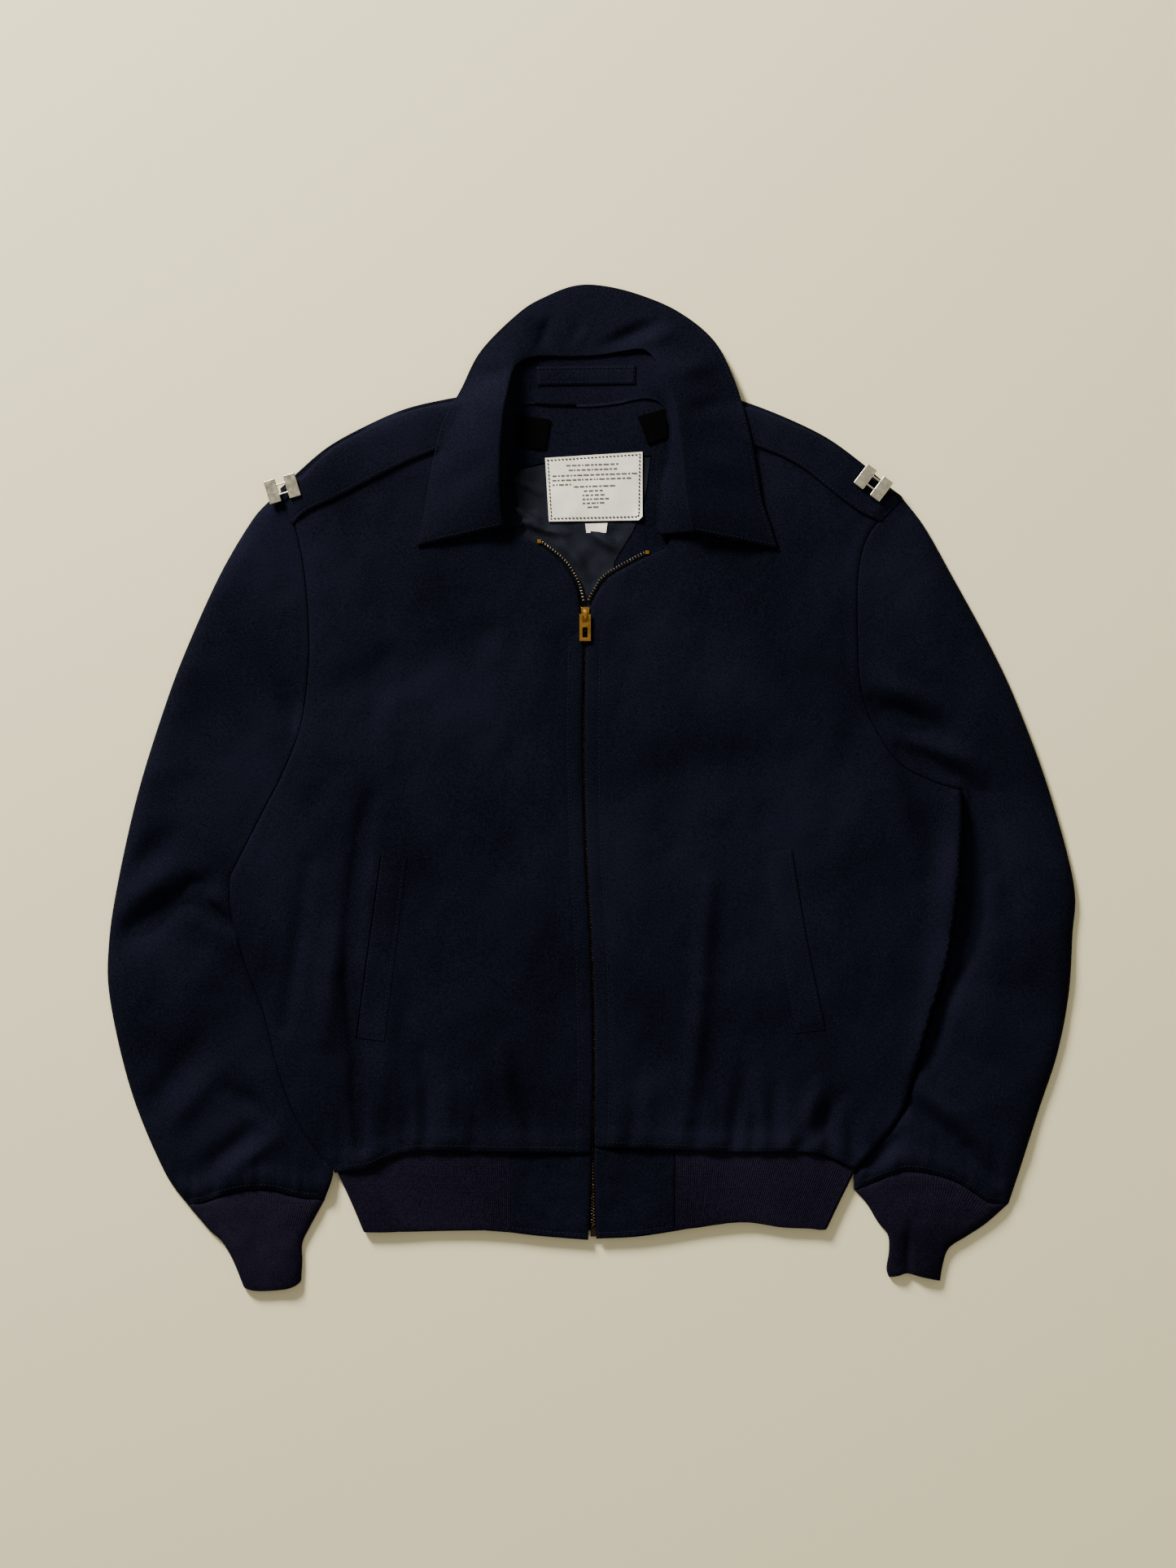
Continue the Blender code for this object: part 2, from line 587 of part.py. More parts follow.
def build_front(pieces, name, side, waist, outer, armhole, shoulder, vee, neck, folds):
    """A front panel over the back, with its rolled side, soft shoulder and bloused waist."""
    chain = beside(smooth(ZIP_LINE, 3 * CHAIN_SPANS), ZIP_GAP * side)
    loop, edges, spans = outline_of(
        ("waist", waist, 20), ("chain", [waist[-1]] + chain[3:], CHAIN_SPANS),
        ("slider", (chain[-1], vee[0]), 2), ("vee", vee, 6), ("neck", neck, 6), ("shoulder", shoulder, 11),
        ("armhole", armhole, ARM_SPANS), ("side", outer, SIDE_SPANS))
    rolled = inset(loop, ROLL_RING)
    inner = [rolled[k] for key in ("shoulder", "side") for k in range(spans[key][0] + 1, spans[key][1])]
    inner += [p for p in spread(loop, STEP, folds) if all(distance(p, q) > 0.5 * STEP for q in inner)]
    zip_edge = edges["chain"] + edges["slider"] + edges["vee"]

    def under(x, y):
        to_zip, to_waist = gap_to(zip_edge, x, y), gap_to(edges["waist"], x, y)
        height = FRONT_LOW + FRONT_LOFT * rounded(to_zip, 45) * rounded(gap_to(edges["armhole"], x, y), 30)
        height += relief(x, y, folds) * eased(to_zip, 14) * eased(to_waist + 4, 14)
        height += BLOUSE * math.exp(-((to_waist - 10) / 7) ** 2)
        roll = min(rounded(gap_to(edges["side"], x, y), SIDE_ROLL),
                   rounded(gap_to(edges["shoulder"], x, y) + 0.6, SIDE_ROLL))
        return max(LAYER_LOW + (height - LAYER_LOW) * roll, LAYER_LOW)

    pieces.cloth(name, loop, inner, lambda x, y: under(x, y) + CLOTH, under, "gabardine")


def build_tube(pieces, name, start, far, end, near, folds, crown, wall, roll, finish, step, counts):
    """A sleeve or cuff laid flat: start and end are its open edges."""
    loop, edges, spans = outline_of(
        ("start", start, counts[0]), ("far", far, counts[1]), ("end", end[::-1], counts[2]),
        ("near", near[::-1], counts[3]))
    rolled = inset(loop, wall + 2.4)
    inner = [rolled[k] for key in ("far", "near") for k in range(spans[key][0] + 1, spans[key][1])]
    inner += [p for p in spread(loop, step, folds) if all(distance(p, q) > 0.5 * step for q in inner)]

    def top(x, y):
        to_edge = min(gap_to(edges["far"], x, y), gap_to(edges["near"], x, y))
        height = crown(x, y, gap_to(edges["start"], x, y), gap_to(edges["end"], x, y))
        return SLEEVE_EDGE + (height - SLEEVE_EDGE) * rounded(to_edge, roll)

    pieces.tube(name, loop, spans, inner, top, wall, finish)


def build_sleeve(pieces, name, armhole, outer, inner_edge, seam, folds):
    """A sleeve laid flat, open at the armhole and at the cuff."""
    def crown(x, y, from_armhole, from_cuff):
        height = ARMHOLE_TOP + (SLEEVE_TOP - ARMHOLE_TOP) * eased(from_armhole, 30)
        height += 1.6 * math.exp(-((from_cuff - 11) / 8) ** 2) - 1.2 * (1 - eased(from_cuff, 8))
        height += relief(x, y, folds) * eased(from_armhole + 3, 10) * eased(from_cuff + 5, 12)
        return min(max(height, SLEEVE_LOWEST), SLEEVE_HIGHEST)

    build_tube(pieces, name, armhole, inner_edge, seam, outer, folds, crown, CLOTH, SLEEVE_ROLL,
               "gabardine", STEP, (ARM_SPANS, 20, 8, 34))


def build_cuff(pieces, name, seam, outer, inner_edge, end, folds):
    """A short knitted tube at the end of a sleeve."""
    def crown(x, y, from_seam, from_end):
        height = CUFF_TOP + relief(x, y, folds) - 0.5 * (1 - eased(from_end, 5))
        return min(max(height, CUFF_LOWEST), CUFF_HIGHEST)

    build_tube(pieces, name, seam, inner_edge, end, outer, folds, crown, KNIT, CUFF_ROLL,
               "rib_knit", CUFF_STEP, (8, 7, 5, 7))


def turned(start, end, side):
    """Places round a folded edge, from the front layer down to the back layer."""
    rise = FRONT_LOW / 2
    for k in range(1, 6):
        angle = math.pi * k / 6
        x, y = between(start, end, k / 6)
        yield x + side * rise * math.sin(angle), y, KNIT / 2 + rise + rise * math.cos(angle)


def build_rib(pieces):
    """The knitted waist, from the right tab round the back to the left tab."""
    front = FRONT_LOW + KNIT / 2
    edges = []
    for k in (0, 1):
        right = [(x, y, front) for x, y in smooth(RIB_FRONT_RIGHT[k], 12)]
        back = [(x, y, KNIT / 2) for x, y in smooth(RIB_BACK[k], 14)]
        left = [(x, y, front) for x, y in smooth(RIB_FRONT_LEFT[k], 12)]
        path = right + list(turned(right[-1][:2], back[0][:2], -1)) + back
        path += list(turned(left[0][:2], back[-1][:2], 1))[::-1] + left
        edges.append(path)
    upper, lower = [], []
    for i in range(len(edges[0])):
        pair = []
        for path in edges:
            before, after = path[max(i - 1, 0)], path[min(i + 1, len(path) - 1)]
            along = Vector((after[0] - before[0], 0, after[2] - before[2])).normalized()
            pair.append((Vector(path[i]), Vector((-along.z, 0, along.x)) * KNIT / 2))
        upper.append([tuple(here + out) for here, out in pair])
        lower.append([tuple(here - out) for here, out in pair])
    pieces.wall("waist_rib", upper, lower, "rib_knit")


def build_tab(pieces, name, edges):
    """A self cloth end of the waistband."""
    top, hem = smooth(edges[0], 5), smooth(edges[1], 5)
    grid = [[between(a, b, t / 3) for a, b in zip(top, hem)] for t in range(4)]
    upper = [[(x, y, FRONT_LOW + CLOTH) for x, y in row] for row in grid]
    lower = [[(x, y, FRONT_LOW) for x, y in row] for row in grid]
    pieces.wall(name, upper, lower, "gabardine")


def build_strap(pieces, name, edges, under):
    """A shoulder strap that lies on the front and turns down over the shoulder."""
    low, high = smooth(edges[0], 12), smooth(edges[1], 12)
    upper, lower = [], []
    for a, b in zip(low, high):
        width = distance(a, b)
        row_up, row_low = [], []
        for share in (0.0, 0.22, 0.44, 0.66, 1 - 5.5 / width, 1 - 2.6 / width, 1.0):
            x, y = between(a, b, share)
            height = max(pieces.top_at(under, x, y, 3.2) + CLEAR, STRAP_EDGE)
            if share == 1.0:
                turned_down = eased(distance(a, low[0]) - 8, 24)
                height = row_low[-1][2] + (height - row_low[-1][2]) * turned_down
            row_up.append((x, y, height + CLOTH))
            row_low.append((x, y, height))
        upper.append(row_up)
        lower.append(row_low)
    pieces.wall(name, upper, lower, "gabardine")


def build_welt(pieces, name, edges, under):
    """A pocket welt on its front panel."""
    mouth, inner_edge = smooth(edges[0], 14), smooth(edges[1], 14)
    upper, lower = [], []
    for a, b in zip(mouth, inner_edge):
        row = [between(a, b, t) for t in (0.0, 0.5, 1.0)]
        heights = [pieces.top_at(under, x, y, 4.0) + CLEAR for x, y in row]
        upper.append([(x, y, z + CLOTH) for (x, y), z in zip(row, heights)])
        lower.append([(x, y, z) for (x, y), z in zip(row, heights)])
    pieces.wall(name, upper, lower, "gabardine")


def collar_sections(count):
    rows = smooth([c + f for c, f in zip(COLLAR, STAND_FOOT)], count)
    for row in rows:
        yield row[0:3], row[3:6], row[6:9]


def build_collar(pieces, under):
    """The collar fall, one band with its leaves turned down on the fronts."""
    upper, lower = [], []
    for roll, edge, _ in collar_sections(COLLAR_ROWS):
        row_up, row_low = [], []
        for share in (0.0, 0.04, 0.12, 0.26, 0.42, 0.6, 0.8, 1.0):
            x, y, _ = between(roll, edge, share)
            height = edge[2] + (roll[2] - edge[2]) * (1 - share ** 1.25)
            height -= 0.5 * (1 - eased(share, 0.04))
            rest = pieces.top_at(under, x, y, 3.0)
            low = max(height - COLLAR_WALL, rest + CLEAR if rest else 0.0)
            row_up.append((x, y, low + COLLAR_WALL))
            row_low.append((x, y, low))
        upper.append(row_up)
        lower.append(row_low)
    pieces.wall("collar", upper, lower, "gabardine")


def build_stand(pieces):
    """The stand, from the neck seam up to just below the roll line."""
    grid = []
    for roll, edge, foot in collar_sections(STAND_ROWS):
        out = Vector((edge[0] - roll[0], edge[1] - roll[1])).normalized() * STAND_OUT
        head = (roll[0] + out.x, roll[1] + out.y, roll[2] - STAND_DROP)
        bow = STAND_BOW * min(max((head[2] - foot[2]) / 14, 0.0), 1.0)
        row = []
        for share in (0.0, 0.33, 0.67, 1.0):
            x, y, z = between(foot, head, share)
            swell = bow * math.sin(math.pi * share)
            row.append(Vector((x - out.x * swell, y - out.y * swell, z)))
        grid.append(row)
    upper, lower = [], []
    last = len(grid) - 1
    for i, row in enumerate(grid):
        row_up, row_low = [], []
        for j, here in enumerate(row):
            along = grid[min(i + 1, last)][j] - grid[max(i - 1, 0)][j]
            rise = row[min(j + 1, 3)] - row[max(j - 1, 0)]
            normal = along.cross(rise).normalized() * STAND_WALL / 2
            row_up.append(tuple(here - normal))
            row_low.append(tuple(here + normal))
        upper.append(row_up)
        lower.append(row_low)
    pieces.wall("collar_stand", upper, lower, "gabardine")


def build_neck(pieces):
    """What shows inside the open neck."""
    pieces.slab("neck_facing", FACING, LAYER_LOW, FACING_TOP, "gabardine")
    pieces.slab("lining_back", LINING, LAYER_LOW, LINING_TOP, "satin_lining")
    low = FACING_TOP + TRIM_GAP
    pieces.slab("patch_right", PATCH_RIGHT, low, low + PATCH_WALL, "hook_fastener")
    pieces.slab("patch_left", PATCH_LEFT, low, low + PATCH_WALL, "hook_fastener")
    pieces.slab("label", LABEL, low, low + LABEL_WALL, "label_cloth")
    low = LINING_TOP + TRIM_GAP
    pieces.slab("size_tab", SIZE_TAB, low, low + TAB_WALL, "label_cloth")


def build_hanger(pieces):
    """The loop strip sewn inside the stand."""
    top_left, top_right, foot_right, foot_left = HANGER
    upper, lower = [], []
    for t in (0.0, 0.5, 1.0):
        start, end = between(top_left, foot_left, t), between(top_right, foot_right, t)
        row = [between(start, end, s / 8) for s in range(9)]
        heights = [pieces.top_at(["collar_stand"], x, y, 2.5) + CLEAR for x, y in row]
        upper.append([(x, y, z + LOOP_WALL) for (x, y), z in zip(row, heights)])
        lower.append([(x, y, z) for (x, y), z in zip(row, heights)])
    pieces.wall("hanger_loop", upper, lower, "gabardine")


def build_zip(pieces):
    """The closed chain, its two open edges, the stops and the bottom box."""
    closed = [CHAIN_FOOT, *ZIP_LINE, CHAIN_HEAD]
    profile = ((-TAPE_HALF, TAPE_LOW), (TAPE_HALF, TAPE_LOW), (TAPE_HALF, TAPE_TOP), (CHAIN_HALF, TAPE_TOP),
               (CHAIN_HALF, CHAIN_TOP), (-CHAIN_HALF, CHAIN_TOP), (-CHAIN_HALF, TAPE_TOP), (-TAPE_HALF, TAPE_TOP))
    pieces.swept("zip_chain", smooth(closed, 26), profile, "zip_tape")
    low = LINING_TOP + TRIM_GAP
    strip = ((-1.5, low), (1.5, low), (1.5, low + 1.6), (0.6, low + 2.3), (-0.6, low + 2.3), (-1.5, low + 1.6))
    for name, vee, side in (("right", VEE_RIGHT, 1), ("left", VEE_LEFT, -1)):
        path = beside(smooth(vee[:4], 14), OPEN_EDGE_OUT * side)
        pieces.swept("zip_edge_" + name, path[1:-1], strip, "dark_brass")
        end = path[-1]
        outline = [(end[0] + dx, end[1] + dy) for dx, dy in STOP_FORM]
        pieces.slab("zip_stop_" + name, outline, low, low + 2.6, "dark_brass")
    pieces.slab("zip_box", ZIP_BOX, TAPE_LOW, FRONT_LOW - CLEAR, "dark_brass")


def build_slider(pieces):
    """The slider with its arch, and the ladder pull tab that swings in the arch."""
    body_top = SLIDER_LOW + SLIDER_SIZE[2]
    wide, long, _ = SLIDER_SIZE
    form = (
        (-wide / 2, long / 2), (-wide / 2 + 0.8, long / 2 + 0.4), (wide / 2 - 0.8, long / 2 + 0.4),
        (wide / 2, long / 2), (wide / 2 - 0.7, -long / 2 + 1.0), (wide / 2 - 1.7, -long / 2),
        (-wide / 2 + 1.7, -long / 2), (-wide / 2 + 0.7, -long / 2 + 1.0))
    outline = [(SLIDER_X + x, SLIDER_Y + y) for x, y in form]
    slider = pieces.slab("zip_slider", outline, SLIDER_LOW, body_top, "brass")
    turns = [math.pi * k / 10 for k in range(11)]
    base = body_top - 0.6
    ring = []
    for reach, rise, order in ((ARCH_REACH, ARCH_RISE + 0.6, 1),
                               (ARCH_REACH - ARCH_WALL, ARCH_RISE + 0.6 - ARCH_WALL, -1)):
        ring += [(reach * math.cos(a), base + rise * math.sin(a) ** 0.8) for a in turns[::order]]
    points = []
    for x in (-ARCH_WIDTH / 2, ARCH_WIDTH / 2):
        points += [(SLIDER_X + x, SLIDER_Y + y, z) for y, z in ring]
    size = len(ring)
    faces = [(j, (j + 1) % size, size + (j + 1) % size, size + j) for j in range(size)]
    for k in (0, 1):
        faces += [tuple(k * size + n for n in (j, j + 1, size - 2 - j, size - 1 - j)) for j in range(10)]
    arch = pieces.add("slider_arch", points, faces, "brass")
    pieces.parts.objects.unlink(arch)
    pieces.cutters.objects.link(arch)
    arch.hide_render = True
    arch.display_type = "WIRE"
    fuse = slider.modifiers.new("arch", "BOOLEAN")
    fuse.operation = "UNION"
    fuse.object = arch

    pivot_z = body_top + PIVOT_RISE
    pivot = bpy.data.objects.new("pull_pivot", None)
    pivot.location = (SLIDER_X * MM, SLIDER_Y * MM, pivot_z * MM)
    pieces.parts.objects.link(pivot)
    plate = pieces.block("zip_pull", PULL_SIZE, (0, -PULL_SIZE[1] / 2 + PULL_SIZE[2] / 2, 0), pieces.parts)
    plate.data.materials.append(pieces.materials["brass"])
    plate.parent = pivot
    for name, middle, length in PULL_WINDOWS:
        hole = pieces.cutter("pull_window_" + name, (PULL_WINDOW, length, 6), (0, middle, 0))
        hole.parent = pivot
        cut = plate.modifiers.new(name, "BOOLEAN")
        cut.operation = "DIFFERENCE"
        cut.object = hole


def build_badge(pieces, name, centre, turn, under):
    """Two plain bars with two thin rungs between them."""
    wide, long, deep = BADGE_SIZE
    reach = [-0.5, 0.0, 0.5]
    spots = [(centre[0] + (wide * a * math.cos(turn) - long * b * math.sin(turn)),
              centre[1] + (wide * a * math.sin(turn) + long * b * math.cos(turn))) for a in reach for b in reach]
    rest = max(pieces.top_at(under, x, y, 2.0) for x, y in spots) + CLEAR
    plate = pieces.block(name, BADGE_SIZE, (*centre, rest + deep / 2), pieces.parts, turn)
    plate.data.materials.append(pieces.materials["silver"])
    gap = wide - 2 * BADGE_BAR
    rung = BADGE_RUNG_GAP / 2 + BADGE_RUNG
    end = (long - 2 * rung) / 2
    holes = (("top", rung + end / 2 + 1, end + 2), ("middle", 0.0, BADGE_RUNG_GAP),
             ("bottom", -rung - end / 2 - 1, end + 2))
    for hole, middle, length in holes:
        spot = (centre[0] - middle * math.sin(turn), centre[1] + middle * math.cos(turn), rest + deep / 2)
        cutter = pieces.cutter(name + "_gap_" + hole, (gap, length, 6), spot, turn)
        cut = plate.modifiers.new(hole, "BOOLEAN")
        cut.operation = "DIFFERENCE"
        cut.object = cutter


def main():
    clear_scene()
    pieces = Pieces()
    build_back(pieces)
    build_neck(pieces)
    build_front(pieces, "front_right", -1, WAIST_RIGHT, SIDE_RIGHT, ARMHOLE_RIGHT, SHOULDER_RIGHT,
                VEE_RIGHT, NECK_RIGHT, FRONT_FOLDS_RIGHT)
    build_front(pieces, "front_left", 1, WAIST_LEFT, SIDE_LEFT, ARMHOLE_LEFT, SHOULDER_LEFT,
                VEE_LEFT, NECK_LEFT, FRONT_FOLDS_LEFT)
    build_sleeve(pieces, "sleeve_right", ARMHOLE_RIGHT, SLEEVE_OUTER_RIGHT, SLEEVE_INNER_RIGHT,
                 CUFF_SEAM_RIGHT, SLEEVE_FOLDS_RIGHT)
    build_sleeve(pieces, "sleeve_left", ARMHOLE_LEFT, SLEEVE_OUTER_LEFT, SLEEVE_INNER_LEFT,
                 CUFF_SEAM_LEFT, SLEEVE_FOLDS_LEFT)
    build_cuff(pieces, "cuff_right", CUFF_SEAM_RIGHT, CUFF_OUTER_RIGHT, CUFF_INNER_RIGHT, CUFF_END_RIGHT,
               CUFF_FOLDS_RIGHT)
    build_cuff(pieces, "cuff_left", CUFF_SEAM_LEFT, CUFF_OUTER_LEFT, CUFF_INNER_LEFT, CUFF_END_LEFT,
               CUFF_FOLDS_LEFT)
    build_rib(pieces)
    build_tab(pieces, "waist_tab_right", TAB_RIGHT)
    build_tab(pieces, "waist_tab_left", TAB_LEFT)
    build_strap(pieces, "shoulder_strap_right", STRAP_RIGHT, ["front_right", "sleeve_right", "back_panel"])
    build_strap(pieces, "shoulder_strap_left", STRAP_LEFT, ["front_left", "sleeve_left", "back_panel"])
    build_welt(pieces, "pocket_welt_right", WELT_RIGHT, ["front_right"])
    build_welt(pieces, "pocket_welt_left", WELT_LEFT, ["front_left"])
    on_fronts = ["front_right", "front_left", "shoulder_strap_right", "shoulder_strap_left", "back_panel"]
    build_collar(pieces, on_fronts)
    build_stand(pieces)
    build_hanger(pieces)
    build_zip(pieces)
    build_slider(pieces)
    build_badge(pieces, "badge_right", BADGE_RIGHT, math.radians(17),
                ["shoulder_strap_right", "sleeve_right", "front_right"])
    build_badge(pieces, "badge_left", BADGE_LEFT, math.radians(-37),
                ["shoulder_strap_left", "sleeve_left", "front_left"])


main()
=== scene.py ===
# %% [markdown]
# # A bomber jacket, laid flat
# This lesson dresses a packed set of plain solids as a real garment: a very dark navy bomber jacket that
# lies on its back, zipped to the chest, seen from straight above. Left and right are the wearer's.
#
# A jacket like this is cut from flat pieces, so the lesson follows the maker's order: back, fronts, sleeves,
# knitted cuffs and waist, collar and stand, then the zip, the pockets, the straps and the trim.

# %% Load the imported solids
import math

import bmesh
import bpy
import numpy as np
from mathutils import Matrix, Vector, noise
from mathutils.bvhtree import BVHTree
from mathutils.geometry import delaunay_2d_cdt


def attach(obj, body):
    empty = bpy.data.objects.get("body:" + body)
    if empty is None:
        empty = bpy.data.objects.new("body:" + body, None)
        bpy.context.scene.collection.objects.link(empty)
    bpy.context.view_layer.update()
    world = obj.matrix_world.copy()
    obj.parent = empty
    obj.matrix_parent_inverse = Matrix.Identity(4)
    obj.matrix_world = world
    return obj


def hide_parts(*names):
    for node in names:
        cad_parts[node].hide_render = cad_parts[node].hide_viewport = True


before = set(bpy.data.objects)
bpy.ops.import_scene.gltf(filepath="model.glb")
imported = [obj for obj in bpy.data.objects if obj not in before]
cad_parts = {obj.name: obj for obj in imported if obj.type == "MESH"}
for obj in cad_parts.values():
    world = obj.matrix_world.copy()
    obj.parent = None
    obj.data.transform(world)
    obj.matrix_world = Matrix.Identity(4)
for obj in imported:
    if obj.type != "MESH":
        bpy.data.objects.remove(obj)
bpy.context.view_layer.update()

# %% [markdown]
# ## The pattern
# A pattern maker describes a garment by its edges. Each table below is one edge of a laid piece, in
# millimetres, with x to the wearer's left and y to the collar. Neighbouring pieces share an edge, so their
# seams meet.

# %% Sizes, in millimetres
MM = 0.001

# The corners of a block, as signs of x and y
CORNERS = ((-1, -1), (1, -1), (1, 1), (-1, 1))

# Walls of cloth and knit
CLOTH, KNIT = 1.9, 2.2
COLLAR_WALL, STAND_WALL, SLEEVE_WALL, CUFF_WALL = 1.4, 0.7, 0.9, 1.3

# Heights above the floor, from the back up
BACK_LOW, BACK_TOP = 0.1, 1.8
SLEEVE_LOW = 0.15
LAYER_LOW = 2.15
TAPE_LOW, TAPE_TOP = 2.6, 3.4
LINING_TOP, FACING_TOP = 3.0, 3.2
SIZE_TAB_LOW = LINING_TOP + 0.35
SEWN_LOW = FACING_TOP + 0.3
FRONT_LOW = 4.3
CUFF_TOP, ARMHOLE_TOP, SLEEVE_TOP = 6.0, 6.6, 7.7

# Gaps between the cut edges, and how far the back shows and the fronts hang past the seams
SEAM, ZIP_GAP = 0.15, 0.75
BACK_REACH, OVERHANG = 0.9, 1.4

# How much the cloth stands up: in the middle of a front, above the waist, and in its folds
FRONT_LOFT, BLOUSE, FOLD_GAIN = 1.2, 1.5, 2.3

# The row of stitches beside the zip, and how far the stand stays below the roll
TOPSTITCH, STAND_DROP = 11.5, 4.4

# Cut sizes of the large panels
BACK_CUT, FRONT_CUT = (600, 660), (310, 640)

# Cords of the knits: height, width at the waist, and how many show on each cuff
CORD_RISE, WAIST_CORD, CUFF_CORDS = 0.24, 1.8, 54

# Teeth: pitch in the closed and in the open rows, and how far each one stands to its side
CLOSED_PITCH, OPEN_PITCH, TOOTH_SHIFT = 1.22, 2.45, 0.75

# Half the height of a dash on the label
DASH_HALF = 0.7

# Steps of the nets, fine above and coarse below, and how many sections the collar has
FRONT_STEP, SLEEVE_STEP, COARSE_STEP = 2.6, 2.4, 14
COLLAR_SECTIONS = 190

# The floor in metres: half its width, and its height just under the cloth
FLOOR_HALF, FLOOR_TOP = 6, -0.0002

# Light powers in watts and the room's strength, then the camera in metres: its height, how much it sees
# from top to bottom, the middle height of the cloth and the place below the camera
WINDOW_POWER, FILL_POWER, ROOM_LIGHT = 392, 12, 0.37
VIEW_HEIGHT, VIEW_TALL, CLOTH_MIDDLE = 3.0, 1.2526, 0.006
VIEW_CENTRE = (-0.0026, 0.0033)

print("top of a front's wall, mm above the floor:", round(FRONT_LOW + CLOTH, 2))

# %% Edges of the right half: x, y
SHOULDER_RIGHT = ((-69, 306), (-108, 307), (-149, 299), (-183, 284), (-210, 268), (-231, 247), (-247, 238))
ARMHOLE_RIGHT = ((-247, 238), (-237, 210), (-230, 178), (-226, 136), (-226, 97), (-232, 51), (-246, 13),
                 (-264, -22), (-289, -71))
SIDE_RIGHT = ((-289, -71), (-288, -98), (-277, -139), (-261, -182), (-249, -229), (-234, -267),
              (-216, -294), (-205, -306))
WAIST_RIGHT = ((-205, -306), (-180, -303), (-159, -294), (-137, -289), (-64, -290), (-0.5, -291))
ZIP_LINE = ((1, -291), (2, -241), (2, -195), (0, -125), (-4, -56), (-6, 12), (-6, 77), (-5, 119))
CHAIN_HEAD = (-5, 129.5)
CHAIN_FOOT = (2, -350)
VEE_RIGHT = ((-9, 147), (-13, 163), (-24, 180), (-43, 195), (-60, 203))
NECK_RIGHT = ((-60, 203), (-69, 222), (-71, 256), (-70, 285), (-69, 306))
SLEEVE_OUTER_RIGHT = ((-247, 238), (-259, 228.5), (-273, 212), (-297, 171), (-322, 116), (-340, 69),
                      (-362, -1), (-378, -71), (-386, -124), (-385, -170), (-368, -243),
                      (-342, -306), (-323, -333))
SLEEVE_INNER_RIGHT = (*SIDE_RIGHT[:7], (-206, -306), (-213, -329))
CUFF_SEAM_RIGHT = ((-323, -333), (-310, -331), (-286, -323), (-259, -321), (-233, -327), (-213, -329))
CUFF_OUTER_RIGHT = ((-323, -333), (-305, -354), (-296, -362), (-287, -377), (-278, -399))
CUFF_INNER_RIGHT = ((-213, -329), (-225, -351), (-231, -364), (-231, -378), (-232, -393))
CUFF_END_RIGHT = ((-278, -399), (-267, -402), (-247, -401), (-237, -398), (-232, -393))

# Edges of the left half: x, y
SHOULDER_LEFT = ((62, 309), (121, 304), (158, 291), (188, 276), (216, 252), (235, 239), (248, 233))
ARMHOLE_LEFT = ((248, 233), (230, 214), (218, 194), (213, 165), (213, 123), (215, 84), (225, 51), (246, 20),
                (271, 6), (296, -2))
SIDE_LEFT = ((296, -2), (297, -22), (296, -46), (293, -85), (284, -141), (271, -184), (255, -239),
             (245, -265), (223, -292), (211, -304))
WAIST_LEFT = ((211, -304), (191, -294), (171, -290), (113, -290), (65, -288), (2.5, -286))
VEE_LEFT = ((0, 147), (6, 158), (15, 169), (46, 186), (58, 191))
NECK_LEFT = ((58, 191), (66, 206), (68, 240), (66, 285), (62, 309))
SLEEVE_OUTER_LEFT = ((248, 233), (266, 210), (288, 171), (318, 116), (340, 69), (366, -1), (386, -76),
                     (385, -118), (382, -165), (373, -212), (358, -258), (343, -305), (334, -332))
SLEEVE_INNER_LEFT = (*SIDE_LEFT, (210, -318))
CUFF_SEAM_LEFT = ((334, -332), (318, -331), (301, -320), (282, -311), (254, -306), (235, -311), (210, -321))
CUFF_OUTER_LEFT = ((334, -332), (316, -348), (301, -358), (286, -368), (281, -382), (279, -394))
CUFF_INNER_LEFT = ((210, -321), (220, -332), (229, -347), (237, -357), (238, -370), (236, -384), (238, -391))
CUFF_END_LEFT = ((279, -394), (265, -391), (253, -388), (245, -390), (238, -391))

# Back: the neck seam and the waist seam, x, y
NECK_BACK = ((62, 309), (30, 305), (0, 304.3), (-40, 304.3), (-69, 306))
WAIST_BACK = ((-205, -306), (-167, -300), (-108, -297), (0, -296), (113, -297), (178, -299), (211, -304))

# Waist rib: x, y along its seam edge and its hem edge, for the front right, back and front left runs
RIB_FRONT_RIGHT = (((-65, -291.5), (-108, -290.5), (-143, -289.5), (-160, -295.5), (-180, -303.5),
                    (-200, -307)),
                   ((-65, -355), (-95, -353), (-128, -353), (-144, -354), (-163, -355), (-179, -355)))
RIB_BACK = (((-200, -307.5), (-167, -301.5), (-108, -298.5), (0, -297.5), (113, -298.5), (178, -300.5),
             (209, -304)),
            ((-179, -355), (-147, -355), (-95, -354), (0, -354), (70, -353), (100, -349.5), (125, -346.5),
             (152, -350.5), (185, -353)))
RIB_FRONT_LEFT = (((209, -303.5), (200, -301), (190, -296), (171, -291.5), (139, -291.5), (100, -291),
                   (67, -290)),
                  ((185, -353), (182, -353), (174, -352), (152, -351), (123, -347), (90, -350), (67, -354)))

# Waist tabs: seam edge and hem edge, x, y from the rib to the zip
TAB_RIGHT = (((-64.9, -290.8), (-30, -291.2), (0.2, -291.2)), ((-64.9, -355), (-40, -358), (-2.4, -361)))
TAB_LEFT = (((66.9, -289.3), (30, -288.2), (2.0, -286.8)), ((66.9, -354), (36, -358.5), (4.0, -360)))

